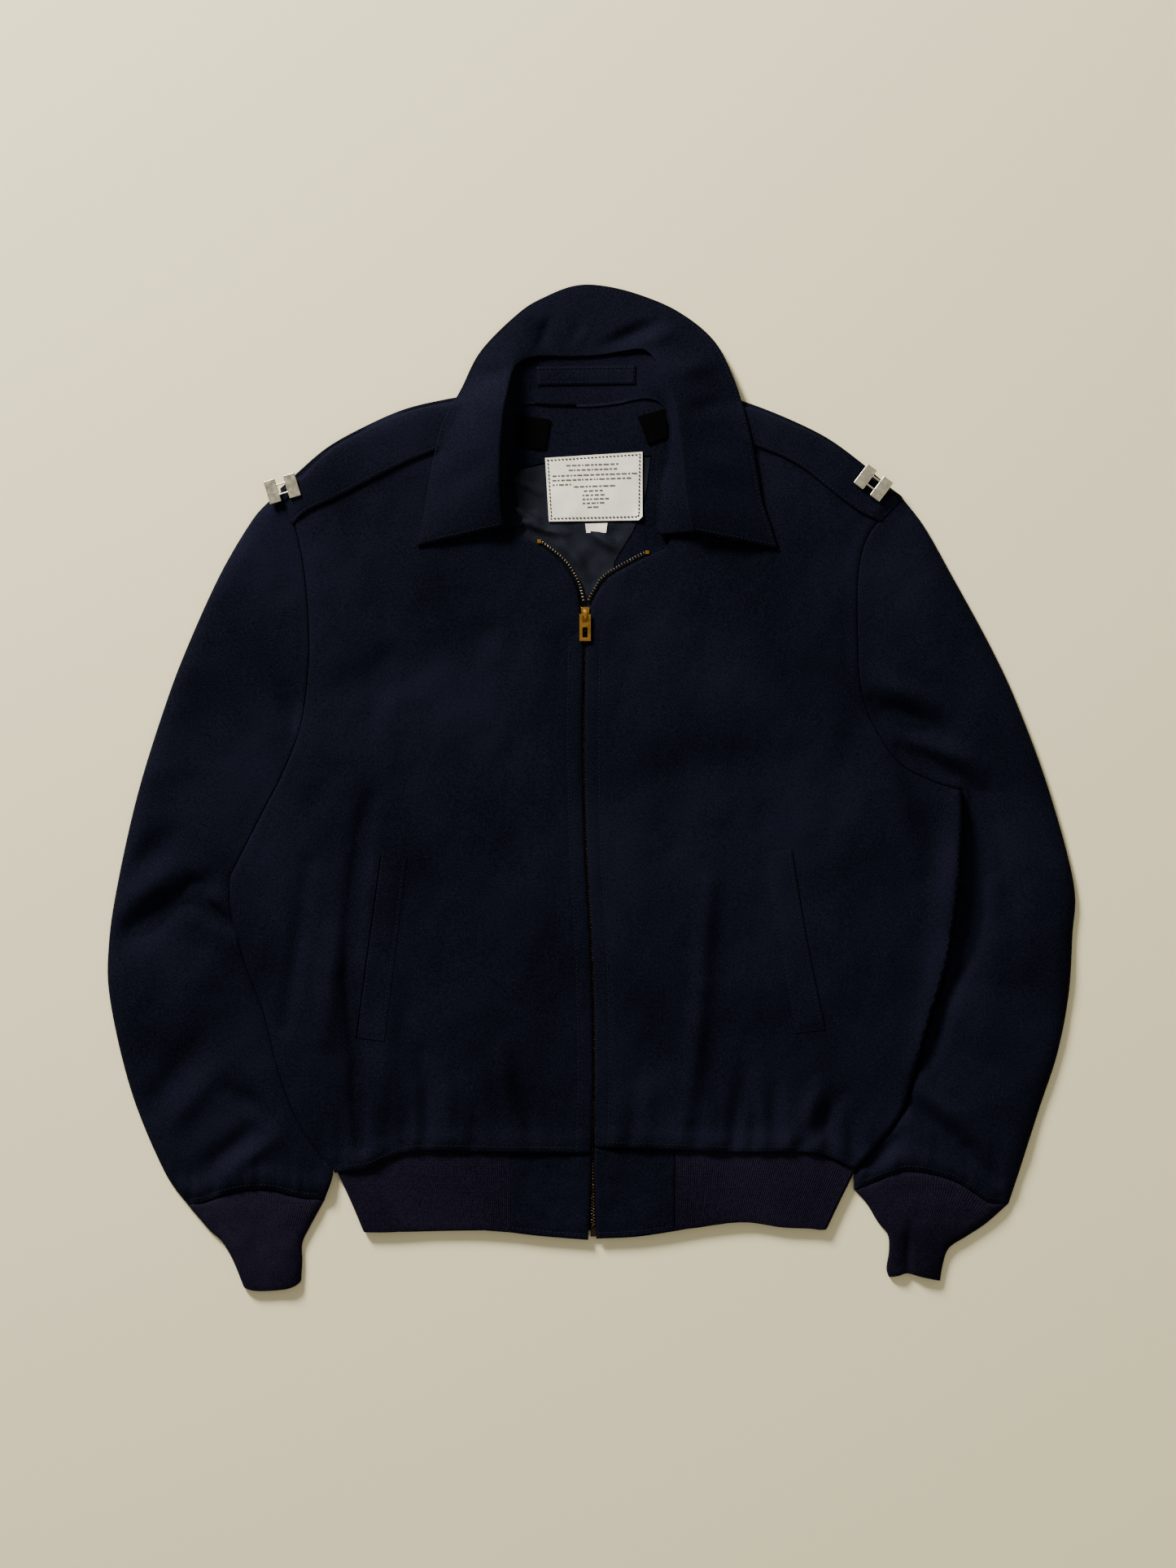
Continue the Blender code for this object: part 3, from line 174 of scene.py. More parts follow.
# Collar: one row for each section from the right leaf round the back to the left leaf
# roll x, roll y, roll height, edge x, edge y, edge height
COLLAR = (
    (-70, 208, 15, -139, 193, 9),
    (-72, 232, 20, -134, 217, 9),
    (-72, 258, 23, -128, 254, 9),
    (-71, 279, 24, -121, 284, 9),
    (-69, 300, 23, -114, 301, 8),
    (-66, 315, 20, -104, 319, 6),
    (-63, 329, 16, -88, 350, 4.5),
    (-58, 339, 11, -57, 381, 3),
    (-43, 345, 7, -35, 394, 2.6),
    (-17, 345, 6, -13, 402, 2.4),
    (6, 346, 6, 9, 402, 2.4),
    (25, 349, 7, 38, 395, 2.6),
    (41, 350, 10, 70, 381, 3),
    (50, 342, 14, 98, 358, 4.5),
    (56, 329, 19, 114, 327, 7),
    (64, 310, 22, 123, 298, 8.5),
    (68, 290, 24, 129, 273, 9),
    (71, 266, 24, 133, 250, 9),
    (73, 245, 23, 137, 228, 9),
    (76, 224, 21, 143, 210, 9),
    (80, 204, 17, 149, 191, 9),
)

# Stand: foot x, foot y, foot height, one row for each collar section
STAND_FOOT = (
    (-55, 208, 4.6), (-62, 230, 3.8), (-65, 257, 3.8), (-65, 278, 3.8), (-63, 295, 3.8), (-60, 303, 3.9),
    (-55, 307, 3.9), (-48, 308, 3.6), (-38, 306.5, 3.2), (-17, 306, 3), (4, 306.5, 3), (22, 308.5, 3.2),
    (36, 311.5, 3.6), (46, 312.5, 4.0), (56, 309, 4.2), (62, 300, 4.2), (65, 285, 4.2), (62, 262, 4.4),
    (57, 242, 4.6), (54, 220, 5.2), (54, 202, 7.0),
)

# Shoulder straps: lower edge and upper edge, x, y from the arm to the collar
STRAP_RIGHT = (((-239, 210.5), (-227, 221), (-203, 232), (-176, 246), (-150, 259), (-131, 267), (-112, 274)),
               ((-249, 239.5), (-236, 251.5), (-212, 272), (-184, 288), (-150, 303), (-117, 311),
                (-97, 314)))
STRAP_LEFT = (((231, 213), (213, 221.5), (191, 238), (171, 254), (152, 265), (137, 271), (118, 279)),
              ((249, 232.5), (232, 246.5), (214, 262), (189, 280), (159, 295), (126, 308), (106, 313)))

# Pocket welts: mouth edge and front edge, x, y from top to bottom
WELT_RIGHT = (((-169, -53), (-179, -126), (-189, -199)), ((-147, -55), (-156, -128), (-165, -202)))
WELT_LEFT = (((160, -49), (172, -121), (187, -193)), ((136, -51), (149, -124), (162, -196)))

# Small flat pieces inside the neck, outlines in x, y
HANGER = ((-44, 337), (35, 338), (35, 323), (-43, 322))
PATCH_RIGHT = ((-58, 298), (-33, 295), (-37, 271), (-59, 273))
PATCH_LEFT = ((37, 297), (60, 304), (61, 281), (45, 275))
LABEL = ((-37, 264), (41, 269), (41, 217), (38, 214), (-34, 213))
SIZE_TAB = ((-5, 211.5), (13, 212), (12, 204), (-4, 204))
FACING = ((-66, 307.5), (-40, 308.2), (0, 308.2), (22, 309), (36, 311.2), (47, 312.3), (60, 311), (64, 285),
          (66, 240), (64, 204), (56, 183), (34, 171), (16, 160), (19, 181), (25, 191), (33, 204), (41, 221),
          (45, 240), (48, 266), (-38, 260), (-56, 256), (-68, 241))
LINING = ((-68, 240), (-56, 255), (-38, 259), (47.5, 265), (44.5, 240), (40.5, 221), (32.5, 204),
          (24.5, 191), (18.5, 181), (15.5, 160), (6, 141), (-13, 141), (-36, 172), (-66, 190))

# Rows of dashes on the label: x of both ends, y at the middle
LABEL_ROWS = (
    (-20, 22, 258.4), (-18, 20, 254.6), (-31, 33, 250.4), (-31, 33, 246.8), (-31, -16, 243.2),
    (-14, 17, 241.2), (-6, 9, 237.6), (-7, 11, 234.2), (-7, 11, 231.0), (-7, 11, 227.8), (-3, 6, 224.6),
)

# Folds: x and y of each end, half width, height (a trough is negative)
FRONT_FOLDS_RIGHT = (
    (-166, 104, -176, 34, 13, -1.1),
    (-60, 124, -56, 96, 14, -0.9),
    (-178, -10, -185, -66, 9, -2.2),
    (-186, -60, -194, -150, 9, -2.6),
    (-192, -148, -187, -206, 8, -3.8),
    (-187, -206, -184, -286, 7, -3.8),
    (-205, -120, -212, -200, 11, 1.6),
    (-212, 8, -224, -20, 18, -1.2),
    (-160, -150, -166, -250, 12, 1.6),
    (-226, -60, -244, -190, 9, -1.2),
    (-73, -213, -66, -250, 9, 1.3),
    (-60, -235, -43, -280, 9, -1.6),
    (-136, -213, -126, -285, 9, -1.4),
    (-118, -225, -108, -286, 9, 1.2),
    (-90, -255, -86, -288, 7, -1.0),
    (-115, 107, -205, 76, 22, -1.3),
    (-56, 128, -95, 122, 18, -0.9),
    (-60, 60, -150, 30, 30, 0.9),
)
FRONT_FOLDS_LEFT = (
    (94, -78, 88, -160, 10, 1.8),
    (88, -160, 78, -262, 10, 2.4),
    (76, -136, 60, -200, 22, -1.6),
    (60, -200, 29, -240, 22, -1.7),
    (122, -225, 115, -290, 8, -1.5),
    (201, -245, 171, -287, 9, -1.6),
    (185, -235, 160, -285, 9, 1.2),
    (146, -240, 142, -290, 8, -1.0),
    (40, -250, 45, -288, 8, -1.0),
    (48, 19, 178, 19, 24, -1.2),
    (230, 40, 262, -60, 14, 1.4),
    (210, 60, 190, -40, 20, -1.0),
    (294, -14, 285, -130, 15, 3.6),
    (285, -130, 258, -225, 13, 2.6),
)
SLEEVE_FOLDS_RIGHT = (
    (-308, -76, -324, -86, 12, -2.6),
    (-324, -86, -378, -124, 17, -2.6),
    (-318, -88, -280, -117, 8, -3.2),
    (-330, -62, -372, -96, 14, 1.6),
    (-336, -36, -366, -66, 14, -1.5),
    (-317, -208, -352, -254, 15, -1.9),
    (-300, -226, -335, -270, 12, 1.3),
    (-286, -241, -258, -262, 10, -1.5),
    (-264, -269, -312, -307, 12, -1.9),
    (-255, -282, -290, -306, 9, 1.3),
    (-245, 77, -235, 45, 12, -1.8),
    (-300, -130, -335, -190, 22, 1.2),
)
SLEEVE_FOLDS_LEFT = (
    (310, -6, 307, -50, 15, -3.2),
    (307, -50, 301, -110, 14, -3.0),
    (301, -110, 288, -160, 12, -2.6),
    (288, -160, 268, -220, 9, -2.0),
    (326, -10, 318, -120, 26, -0.9),
    (246, -276, 228, -300, 9, -2.4),
    (226, 66, 277, 42, 14, -3.2),
    (232, 84, 282, 62, 12, 1.5),
    (249, 32, 301, 4, 9, -2.4),
    (262, 40, 310, 16, 9, 1.5),
    (310, -8, 318, -60, 13, -2.6),
    (327, -31, 342, -124, 16, -1.6),
    (300, -90, 306, -150, 16, -1.5),
    (253, -248, 300, -290, 11, -2.6),
    (300, -290, 327, -322, 9, -2.4),
    (262, -238, 312, -282, 11, 1.8),
    (290, -170, 330, -215, 20, 1.1),
)
CUFF_FOLDS_RIGHT = ((-268, -352, -262, -400, 9, -1.0), (-245, -345, -243, -398, 8, 0.7))
CUFF_FOLDS_LEFT = ((254, -350, 253, -392, 5, -1.9), (268, -350, 270, -388, 8, 0.8))
COLLAR_FOLDS = (
    (-41, 352, -34, 374, 5, -1.1),
    (-12, 350, -5, 366, 5, 0.9),
    (6, 351, 38, 369, 6, -1.0),
    (-78, 300, -96, 318, 8, 0.8),
    (76, 300, 104, 306, 8, -0.8),
    (14, 349, 50, 371, 7, -1.6),
    (40, 352, 66, 366, 8, 1.0),
    (-30, 352, -46, 372, 8, -1.0),
    (-6, 352, -12, 372, 9, -0.9),
    (-64, 330, -92, 330, 9, -1.0),
    (66, 330, 98, 340, 9, 1.0),
    (-75, 262, -118, 240, 14, -0.8),
    (84, 262, 124, 252, 14, 0.7),
)
LINING_FOLDS = (
    (-64, 225, -44, 214, 4, 1.6),
    (-60, 246, -42, 236, 4, 1.4),
    (-52, 200, -30, 178, 5, 1.8),
    (-30, 205, 0, 168, 6, 1.3),
    (0, 204, 22, 190, 5, 1.5),
    (-52, 240, -47, 226, 4, -1.6),
    (-60, 214, -36, 208, 4, 1.5),
    (-8, 192, 8, 150, 6, -0.6),
    (-44, 208, -20, 203, 4, 1.2),
)

print("edge points in the pattern:",
      sum(len(edge) for edge in (ARMHOLE_RIGHT, ARMHOLE_LEFT, SIDE_RIGHT, SIDE_LEFT, COLLAR)))
print("folds:", sum(len(folds) for folds in (FRONT_FOLDS_RIGHT, FRONT_FOLDS_LEFT, SLEEVE_FOLDS_RIGHT,
                                             SLEEVE_FOLDS_LEFT, COLLAR_FOLDS, LINING_FOLDS)))

# %% [markdown]
# ## Working with edges
# A smooth curve through a short table gives as many points as a mesh needs. The distance from any place to
# an edge says how high the cloth lies there: near a seam it dips, and at a folded side it rolls down.

# %% Curves and outlines
def run_of(line):
    """How far along a line each of its points lies."""
    return np.concatenate([[0], np.cumsum(np.linalg.norm(np.diff(line, axis=0), axis=1))])


def smooth(points, count):
    """Even steps along a smooth curve through the points of a table."""
    p = np.array(points, float)
    last = len(p) - 1
    before, after = p[[0, *range(last - 1)]], p[[*range(2, last + 1), last]]
    t = np.arange(12)[:, None] / 12
    parts = [0.5 * (2 * b + (c - a) * t + (2 * a - 5 * b + 4 * c - d) * t ** 2
                    + (3 * b - a - 3 * c + d) * t ** 3)
             for a, b, c, d in zip(before, p[:-1], p[1:], after)]
    dense = np.vstack([*parts, p[-1:]])
    run = run_of(dense)
    goal = np.linspace(0, run[-1], count)
    return np.stack([np.interp(goal, run, dense[:, k]) for k in range(p.shape[1])], 1)


def length_of(line):
    return float(np.linalg.norm(np.diff(line, axis=0), axis=1).sum())


def unit(v):
    """Each direction with a length of one."""
    v = np.asarray(v, float)
    return v / np.maximum(np.linalg.norm(v, axis=-1, keepdims=True), 1e-9)


def normals_of(path):
    """The direction to the right of a path at each of its points."""
    along = unit(np.gradient(path[:, :2], axis=0))
    return np.stack([along[:, 1], -along[:, 0]], 1)


def beside(path, gap):
    """A path moved to its right."""
    return path[:, :2] + normals_of(path) * gap


def signed_area(loop):
    """The area of an outline, above zero when it runs anticlockwise."""
    x, y = loop[:, 0], loop[:, 1]
    return float((x * np.roll(y, -1) - np.roll(x, -1) * y).sum()) / 2


def area_of(loop):
    return abs(signed_area(loop))


def inset(loop, gap):
    """A closed outline drawn in by a gap."""
    along = unit(unit(loop - np.roll(loop, 1, axis=0)) + unit(np.roll(loop, -1, axis=0) - loop))
    return loop + np.stack([-along[:, 1], along[:, 0]], 1) * gap * np.sign(signed_area(loop))


def between(first, second, share):
    return first * (1 - share) + second * share


def at_height(line, z):
    """Flat places lifted to one height."""
    return np.column_stack([line, np.full(len(line), z)])


print("a curve of three points in five steps:", smooth(((0, 0), (10, 4), (20, 0)), 5).round(1).tolist())


# %% Distances, folds and waves
def gap_to(line, p):
    """Distance from each place to a line of points."""
    best = np.full(len(p), 1e9)
    for a, b in zip(line, line[1:]):
        step = b - a
        t = np.clip((p - a) @ step / max(step @ step, 1e-12), 0, 1)
        best = np.minimum(best, np.linalg.norm(p - a - t[:, None] * step, axis=1))
    return best


def gap_to_border(loop, p):
    return gap_to(np.vstack([loop, loop[:1]]), p)


def inside(loop, p):
    """Which places lie inside a closed outline."""
    crossed = np.zeros(len(p), bool)
    for a, b in zip(loop, np.roll(loop, -1, axis=0)):
        if a[1] != b[1]:
            spans = (a[1] > p[:, 1]) != (b[1] > p[:, 1])
            crossed ^= spans & (p[:, 0] < (b[0] - a[0]) * (p[:, 1] - a[1]) / (b[1] - a[1]) + a[0])
    return crossed


def rounded(run, reach):
    """From 0 to 1 over a reach, as steep at the start as a rolled edge."""
    t = np.clip(run / reach, 0, 1)
    return np.sqrt(1 - (1 - t) ** 2)


def eased(run, reach):
    """From 0 to 1 over a reach, gently at both ends."""
    t = np.clip(run / reach, 0, 1)
    return t * t * (3 - 2 * t)


def bump(run, width):
    return np.exp(-(run / width) ** 2)


def relief(p, folds):
    """Height that soft folds add. Each runs between two places and fades past its half width."""
    total = np.zeros(len(p))
    for x0, y0, x1, y1, half_width, height in folds:
        start, along = np.array((x0, y0)), np.array((x1 - x0, y1 - y0))
        t = np.clip((p - start) @ along / (along @ along), 0, 1)
        away = np.linalg.norm(p - start - t[:, None] * along, axis=1) / half_width
        total += height * (0.45 + 0.55 * np.sin(math.pi * t)) * np.exp(-1.6 * away ** 2)
    return total


def ripple(p, size, height, seed):
    """Slow uneven waves, as cloth has after it was worn and folded."""
    return height * np.array([noise.noise(Vector((x / size, y / size, seed))) for x, y in p])


print("a rolled edge over its reach:", rounded(np.linspace(0, 1, 5), 1).round(2).tolist())

# %% [markdown]
# ## From outlines to cloth
# Each panel is a net of small triangles over its outline, so every seam keeps its exact curve. The upper
# face is fine enough for creases. The face below is hidden, so it has large triangles. Strips such as the
# collar are grids with a row for each section.

# %% Making pieces
trees, materials, slots = {}, {}, {}


def linked(name, data):
    """A new object in the scene."""
    item = bpy.data.objects.new(name, data)
    bpy.context.scene.collection.objects.link(item)
    return item


def dressed(name, mesh, material, body="jacket", sharp=50):
    """A smooth piece of one material, that rides on a body."""
    mesh.shade_smooth()
    mesh.set_sharp_from_angle(angle=math.radians(sharp))
    mesh.materials.append(materials[material])
    piece = linked(name, mesh)
    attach(piece, body)
    return piece


def make(name, points, faces, material, sharp=50):
    """One piece from points in millimetres. Its tree finds heights on it later."""
    mesh = bpy.data.meshes.new(name)
    mesh.from_pydata((np.asarray(points, float) * MM).tolist(), [], faces)
    form = bmesh.new()
    form.from_mesh(mesh)
    bmesh.ops.recalc_face_normals(form, faces=form.faces)
    form.to_mesh(mesh)
    form.free()
    trees[name] = BVHTree.FromPolygons([Vector(p) for p in points], faces)
    return dressed(name, mesh, material, sharp=sharp)


def joined(name, forms, faces, material):
    """One piece of many small forms that share their faces."""
    size = len(forms[0])
    shifted = [tuple(v + size * k for v in face) for k in range(len(forms)) for face in faces]
    return make(name, np.vstack(forms), shifted, material)


def hollow(piece, thickness):
    """Gives a thin shell the thickness of its cloth, on the side away from its normals."""
    shell = piece.modifiers.new("cloth", "SOLIDIFY")
    shell.thickness = thickness * MM
    shell.offset = -1
    return piece


def sheet(piece, node, cut, area):
    """Hides the solid that a piece of cloth stands for. The piece, its cut in millimetres and its area are
    not used.
    """
    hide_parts(node)


def top_at(names, p, reach=0.0):
    """The highest point of the named pieces under each place."""
    steps = ((0, 0), (reach, 0), (-reach, 0), (0, reach), (0, -reach)) if reach else ((0, 0),)
    heights = []
    for x, y in np.asarray(p)[:, :2]:
        best = 0.0
        for name in names:
            for dx, dy in steps:
                hit = trees[name].ray_cast(Vector((x + dx, y + dy, 90)), Vector((0, 0, -1)))[0]
                best = max(best, hit.z if hit else 0.0)
        heights.append(best)
    return np.array(heights)


# %% Panels over an outline
def lattice(loop, step, clear=0.6):
    """Staggered places inside an outline."""
    low, high = loop.min(0), loop.max(0)
    rows = np.arange(low[1], high[1], step * 0.866)
    p = np.array([(x, y) for k, y in enumerate(rows)
                  for x in np.arange(low[0] + (k % 2) * step / 2, high[0], step)])
    p = p[inside(loop, p)]
    return p[gap_to_border(loop, p) > step * clear]


def ring_points(loop, gap):
    """Places just inside a border, so that its edge can be soft."""
    ring = inset(loop, gap)
    return ring[inside(loop, ring) & (gap_to_border(loop, ring) > gap * 0.8)]


def net(loop, inner):
    """Triangles that join a border and the places inside it."""
    size = len(loop)
    flat = [Vector(p) for p in np.vstack([loop, inner])]
    border = [(i, (i + 1) % size) for i in range(size)]
    _, _, faces, origins, _, _ = delaunay_2d_cdt(flat, border, [list(range(size))], 1, 1e-5)
    return [tuple(origins[v][0] for v in face) for face in faces]


def outline(step, *stretches):
    """A closed outline in even steps, and which of its points belong to each named stretch."""
    parts, places = [], {}
    for name, points in stretches:
        count = max(int(length_of(np.array(points, float)[:, :2]) / step), 2)
        places[name] = np.arange(count + 1) + sum(len(part) for part in parts)
        parts.append(smooth(points, count + 1)[:-1])
    loop = inset(np.vstack(parts), SEAM)
    return loop, {name: place % len(loop) for name, place in places.items()}


def layers(loop, inner, below, sewn):
    """Flat places and faces of two layers over one outline, joined where it is sewn."""
    size, count = len(loop), len(loop) + len(inner)
    faces = net(loop, inner) + [tuple(v + count for v in face) for face in net(loop, below)]
    faces += [(j, (j + 1) % size, count + (j + 1) % size, count + j) for j in range(size) if sewn[j]]
    return np.vstack([loop, inner]), np.vstack([loop, below]), faces


def panel(name, loop, top, under, material, step):
    """A closed wall of cloth over an outline, fine above and coarse below."""
    inner = np.vstack([ring_points(loop, 0.7), lattice(loop, step)])
    upper, lower, faces = layers(loop, inner, lattice(loop, COARSE_STEP), np.ones(len(loop), bool))
    points = np.vstack([np.column_stack([upper, top(upper)]), np.column_stack([lower, under(lower)])])
    return make(name, points, faces, material)


def level(z):
    """A flat top or underside."""
    return lambda p: np.full(len(p), z)


print("a small net:", len(net(np.array(CORNERS, float), np.array(((0.1, 0.2),)))), "triangles")


# %% Strips and tubes from a grid
def grid_faces(rows, columns, shift=0):
    """Faces of an open grid."""
    return [tuple(shift + v for v in (i * columns + j, i * columns + j + 1, (i + 1) * columns + j + 1,
                                      (i + 1) * columns + j))
            for i in range(rows - 1) for j in range(columns - 1)]


def tube_faces(rings, size):
    """Faces round an open tube of rings."""
    return [(i * size + j, i * size + (j + 1) % size, (i + 1) * size + (j + 1) % size, (i + 1) * size + j)
            for i in range(rings - 1) for j in range(size)]


def closed_faces(rings, size):
    """Faces of a tube with its two ends shut."""
    return tube_faces(rings, size) + [tuple(range(size)), tuple(range((rings - 1) * size, rings * size))]


def wall(name, upper, lower, material):
    """A strip between an upper and a lower grid of points, closed round its rim."""
    upper, lower = np.asarray(upper), np.asarray(lower)
    rows, columns = upper.shape[:2]
    size = rows * columns
    faces = grid_faces(rows, columns) + grid_faces(rows, columns, size)
    rim = [(0, j) for j in range(columns)] + [(i, columns - 1) for i in range(1, rows)]
    rim += [(rows - 1, j) for j in range(columns - 2, -1, -1)] + [(i, 0) for i in range(rows - 2, 0, -1)]
    rim = [i * columns + j for i, j in rim]
    faces += [(a, b, b + size, a + size) for a, b in zip(rim, rim[1:] + rim[:1])]
    return make(name, np.vstack([upper.reshape(-1, 3), lower.reshape(-1, 3)]), faces, material)


def area_of_grid(grid):
    """The area of a grid of rows, as if it were pressed flat."""
    return sum(length_of(0.5 * (a + b)) * float(np.linalg.norm(a - b, axis=1).mean())
               for a, b in zip(grid, grid[1:]))


print("faces of a small block:", len(closed_faces(2, 4)))

# %% [markdown]
# ## Materials
# Wool-blend gabardine is a fine twill: steep diagonal ribs under a millimetre apart, matte, with a faint
# sheen where the pile catches light. The knit has the same navy with more red in it. Colour, roughness and
# relief that change over a surface come from node groups, and each material keeps its own shader.

# %% Node groups
OUTPUTS = (("Colour", "NodeSocketColor"), ("Roughness", "NodeSocketFloat"), ("Height", "NodeSocketFloat"))


class Surface:
    """A node group that turns a place into a colour, a roughness and a height."""

    def __init__(self, name):
        self.tree = bpy.data.node_groups.new(name, "ShaderNodeTree")
        self.tree.interface.new_socket("Vector", in_out="INPUT", socket_type="NodeSocketVector")
        for socket, kind in OUTPUTS:
            self.tree.interface.new_socket(socket, in_out="OUTPUT", socket_type=kind)
        self.place = self.tree.nodes.new("NodeGroupInput").outputs["Vector"]
        self.end = self.tree.nodes.new("NodeGroupOutput")

    def texture(self, kind, place, output=0, **values):
        """One output of a texture or mapping node."""
        node = self.tree.nodes.new(kind)
        self.tree.links.new(place, node.inputs["Vector"])
        for socket, value in values.items():
            node.inputs[socket].default_value = value
        return node.outputs[output]

    def maths(self, operation, source, value, added=None):
        """A sum with a constant as its second number."""
        node = self.tree.nodes.new("ShaderNodeMath")
        node.operation = operation
        node.inputs[1].default_value = value
        self.tree.links.new(source, node.inputs[0])
        if added is not None:
            self.tree.links.new(added, node.inputs[2])
        return node.outputs[0]

    def ramp(self, source, *stops):
        """A colour that blends from one stop to the next."""
        node = self.tree.nodes.new("ShaderNodeValToRGB")
        self.tree.links.new(source, node.inputs["Fac"])
        for element, (place, colour) in zip(node.color_ramp.elements, stops):
            element.position = place
            element.color = (*colour, 1.0)
        return node.outputs["Color"]

    def finish(self, *sources):
        for (socket, _), source in zip(OUTPUTS, sources):
            self.tree.links.new(source, self.end.inputs[socket])
        return self.tree


def grey(value):
    return (value, value, value)


def fabric_group(name, dark, light, pitch, turn, fuzz, depth, rough):
    """Cloth with diagonal or upright threads, slow shading and fine fuzz."""
    cloth = Surface(name)
    turned = cloth.texture("ShaderNodeMapping", cloth.place, Rotation=(0.0, 0.0, math.radians(turn)))
    threads = cloth.texture("ShaderNodeTexWave", turned, "Fac", Scale=math.tau / 20 / (pitch * MM),
                            Distortion=0.6, Detail=1.0)
    slow = cloth.texture("ShaderNodeTexNoise", cloth.place, Scale=9.0, Detail=3.0, Roughness=0.5)
    fine = cloth.texture("ShaderNodeTexNoise", cloth.place, Scale=760.0, Detail=3.0, Roughness=0.75)
    shade = cloth.maths("DIVIDE", cloth.maths("MULTIPLY_ADD", slow, 0.5, fine), 1.5)
    weave = cloth.maths("MULTIPLY", threads, depth)
    return cloth.finish(cloth.ramp(shade, (0.38, dark), (0.62, light)),
                        cloth.ramp(fine, (0.2, grey(rough[0])), (0.8, grey(rough[1]))),
                        cloth.maths("MULTIPLY_ADD", fine, fuzz, weave))


def metal_group(name, clean, worn):
    """Metal with duller, darker patches and fine scratches."""
    metal = Surface(name)
    patches = metal.texture("ShaderNodeTexNoise", metal.place, Scale=240.0, Detail=5.0, Roughness=0.65)
    stretched = metal.texture("ShaderNodeMapping", metal.place, Scale=(1.0, 0.08, 1.0))
    lines = metal.texture("ShaderNodeTexNoise", stretched, Scale=3000.0, Detail=2.0)
    return metal.finish(metal.ramp(patches, (0.38, worn), (0.6, clean)),
                        metal.ramp(patches, (0.35, grey(0.5)), (0.65, grey(0.22))),
                        metal.maths("MULTIPLY", lines, 0.2))


def label_group(name):
    """Off-white woven cloth with faint stains."""
    label = Surface(name)
    weave = label.texture("ShaderNodeTexNoise", label.place, Scale=1400.0, Detail=2.0)
    stain = label.texture("ShaderNodeTexNoise", label.place, Scale=40.0, Detail=3.0)
    return label.finish(label.ramp(stain, (0.3, (0.66, 0.62, 0.52)), (0.7, (0.80, 0.76, 0.66))),
                        label.ramp(weave, (0.2, grey(0.75)), (0.8, grey(0.92))), weave)


def material(name, slot, tree, relief_depth, **constants):
    """A shader fed by one group, with the values that stay the same set on its own sockets."""
    made = bpy.data.materials.new(name)
    made.use_nodes = True
    nodes, links = made.node_tree.nodes, made.node_tree.links
    shader = nodes["Principled BSDF"]
    group = nodes.new("ShaderNodeGroup")
    group.node_tree = tree
    raised = nodes.new("ShaderNodeBump")
    raised.inputs["Distance"].default_value = relief_depth * MM
    links.new(nodes.new("ShaderNodeTexCoord").outputs["Object"], group.inputs["Vector"])
    links.new(group.outputs["Colour"], shader.inputs["Base Color"])
    links.new(group.outputs["Roughness"], shader.inputs["Roughness"])
    links.new(group.outputs["Height"], raised.inputs["Height"])
    links.new(raised.outputs["Normal"], shader.inputs["Normal"])
    for socket, value in constants.items():
        shader.inputs[socket.replace("_", " ")].default_value = value
    materials[name] = made
    slots[name] = slot


print("outputs of each group:", [socket for socket, _ in OUTPUTS])

# %% Cloths and metals
MATT, SATIN = (0.72, 0.92), (0.6, 0.72)
NAVY_SHEEN = dict(Sheen_Weight=0.012, Sheen_Roughness=0.5, Sheen_Tint=(0.30, 0.36, 0.62, 1.0))
KNIT_SHEEN = dict(Sheen_Weight=0.02, Sheen_Roughness=0.5, Sheen_Tint=(0.42, 0.34, 0.66, 1.0))
SATIN_TINT = dict(Specular_Tint=(0.85, 0.9, 1.0, 1.0))

# name, slot, group, dark colour, light colour, then in brackets the threads: pitch in millimetres, turn in
# degrees, fuzz, depth and roughness. Last come the relief in millimetres, the specular level and its tint
# or the sheen.
CLOTHS = (
    ("gabardine", "gabardine", "twill", (0.0002, 0.0004, 0.0018), (0.0048, 0.0053, 0.0128),
     (0.75, 27, 0.9, 0.6, MATT), 0.14, 0.03, NAVY_SHEEN),
    ("rib_knit", "rib_knit", "knit", (0.0014, 0.0010, 0.0040), (0.0094, 0.0074, 0.0168),
     (1.1, 90, 0.9, 0.7, MATT), 0.18, 0.03, KNIT_SHEEN),
    ("satin_lining", "satin_lining", "satin", (0.0022, 0.0028, 0.0058), (0.0068, 0.0080, 0.0132),
     (0.3, 5, 0.15, 0.1, SATIN), 0.03, 0.1, SATIN_TINT),
    ("thread", "gabardine", "thread_twist", (0.0016, 0.0020, 0.0050), (0.0050, 0.0058, 0.0118),
     (0.4, 60, 0.2, 0.6, MATT), 0.05, 0.12, {}),
    ("dark_thread", "gabardine", "dark_twist", (0.010, 0.009, 0.010), (0.034, 0.028, 0.026),
     (0.4, 60, 0.2, 0.6, MATT), 0.05, 0.1, {}),
    ("print_grey", "label_cloth", "faded_print", (0.06, 0.052, 0.045), (0.14, 0.12, 0.10),
     (0.4, 60, 0.2, 0.6, MATT), 0.02, 0.1, {}),
    ("hook_fastener", "hook_fastener", "pile", grey(0.0003), grey(0.0012),
     (1.2, 45, 3.0, 0.4, MATT), 0.5, 0.02, {}),
    ("zip_tape", "zip_tape", "tape", (0.0006, 0.0007, 0.0016), (0.0018, 0.0020, 0.0036),
     (0.6, 0, 0.3, 0.8, MATT), 0.12, 0.04, {}),
)
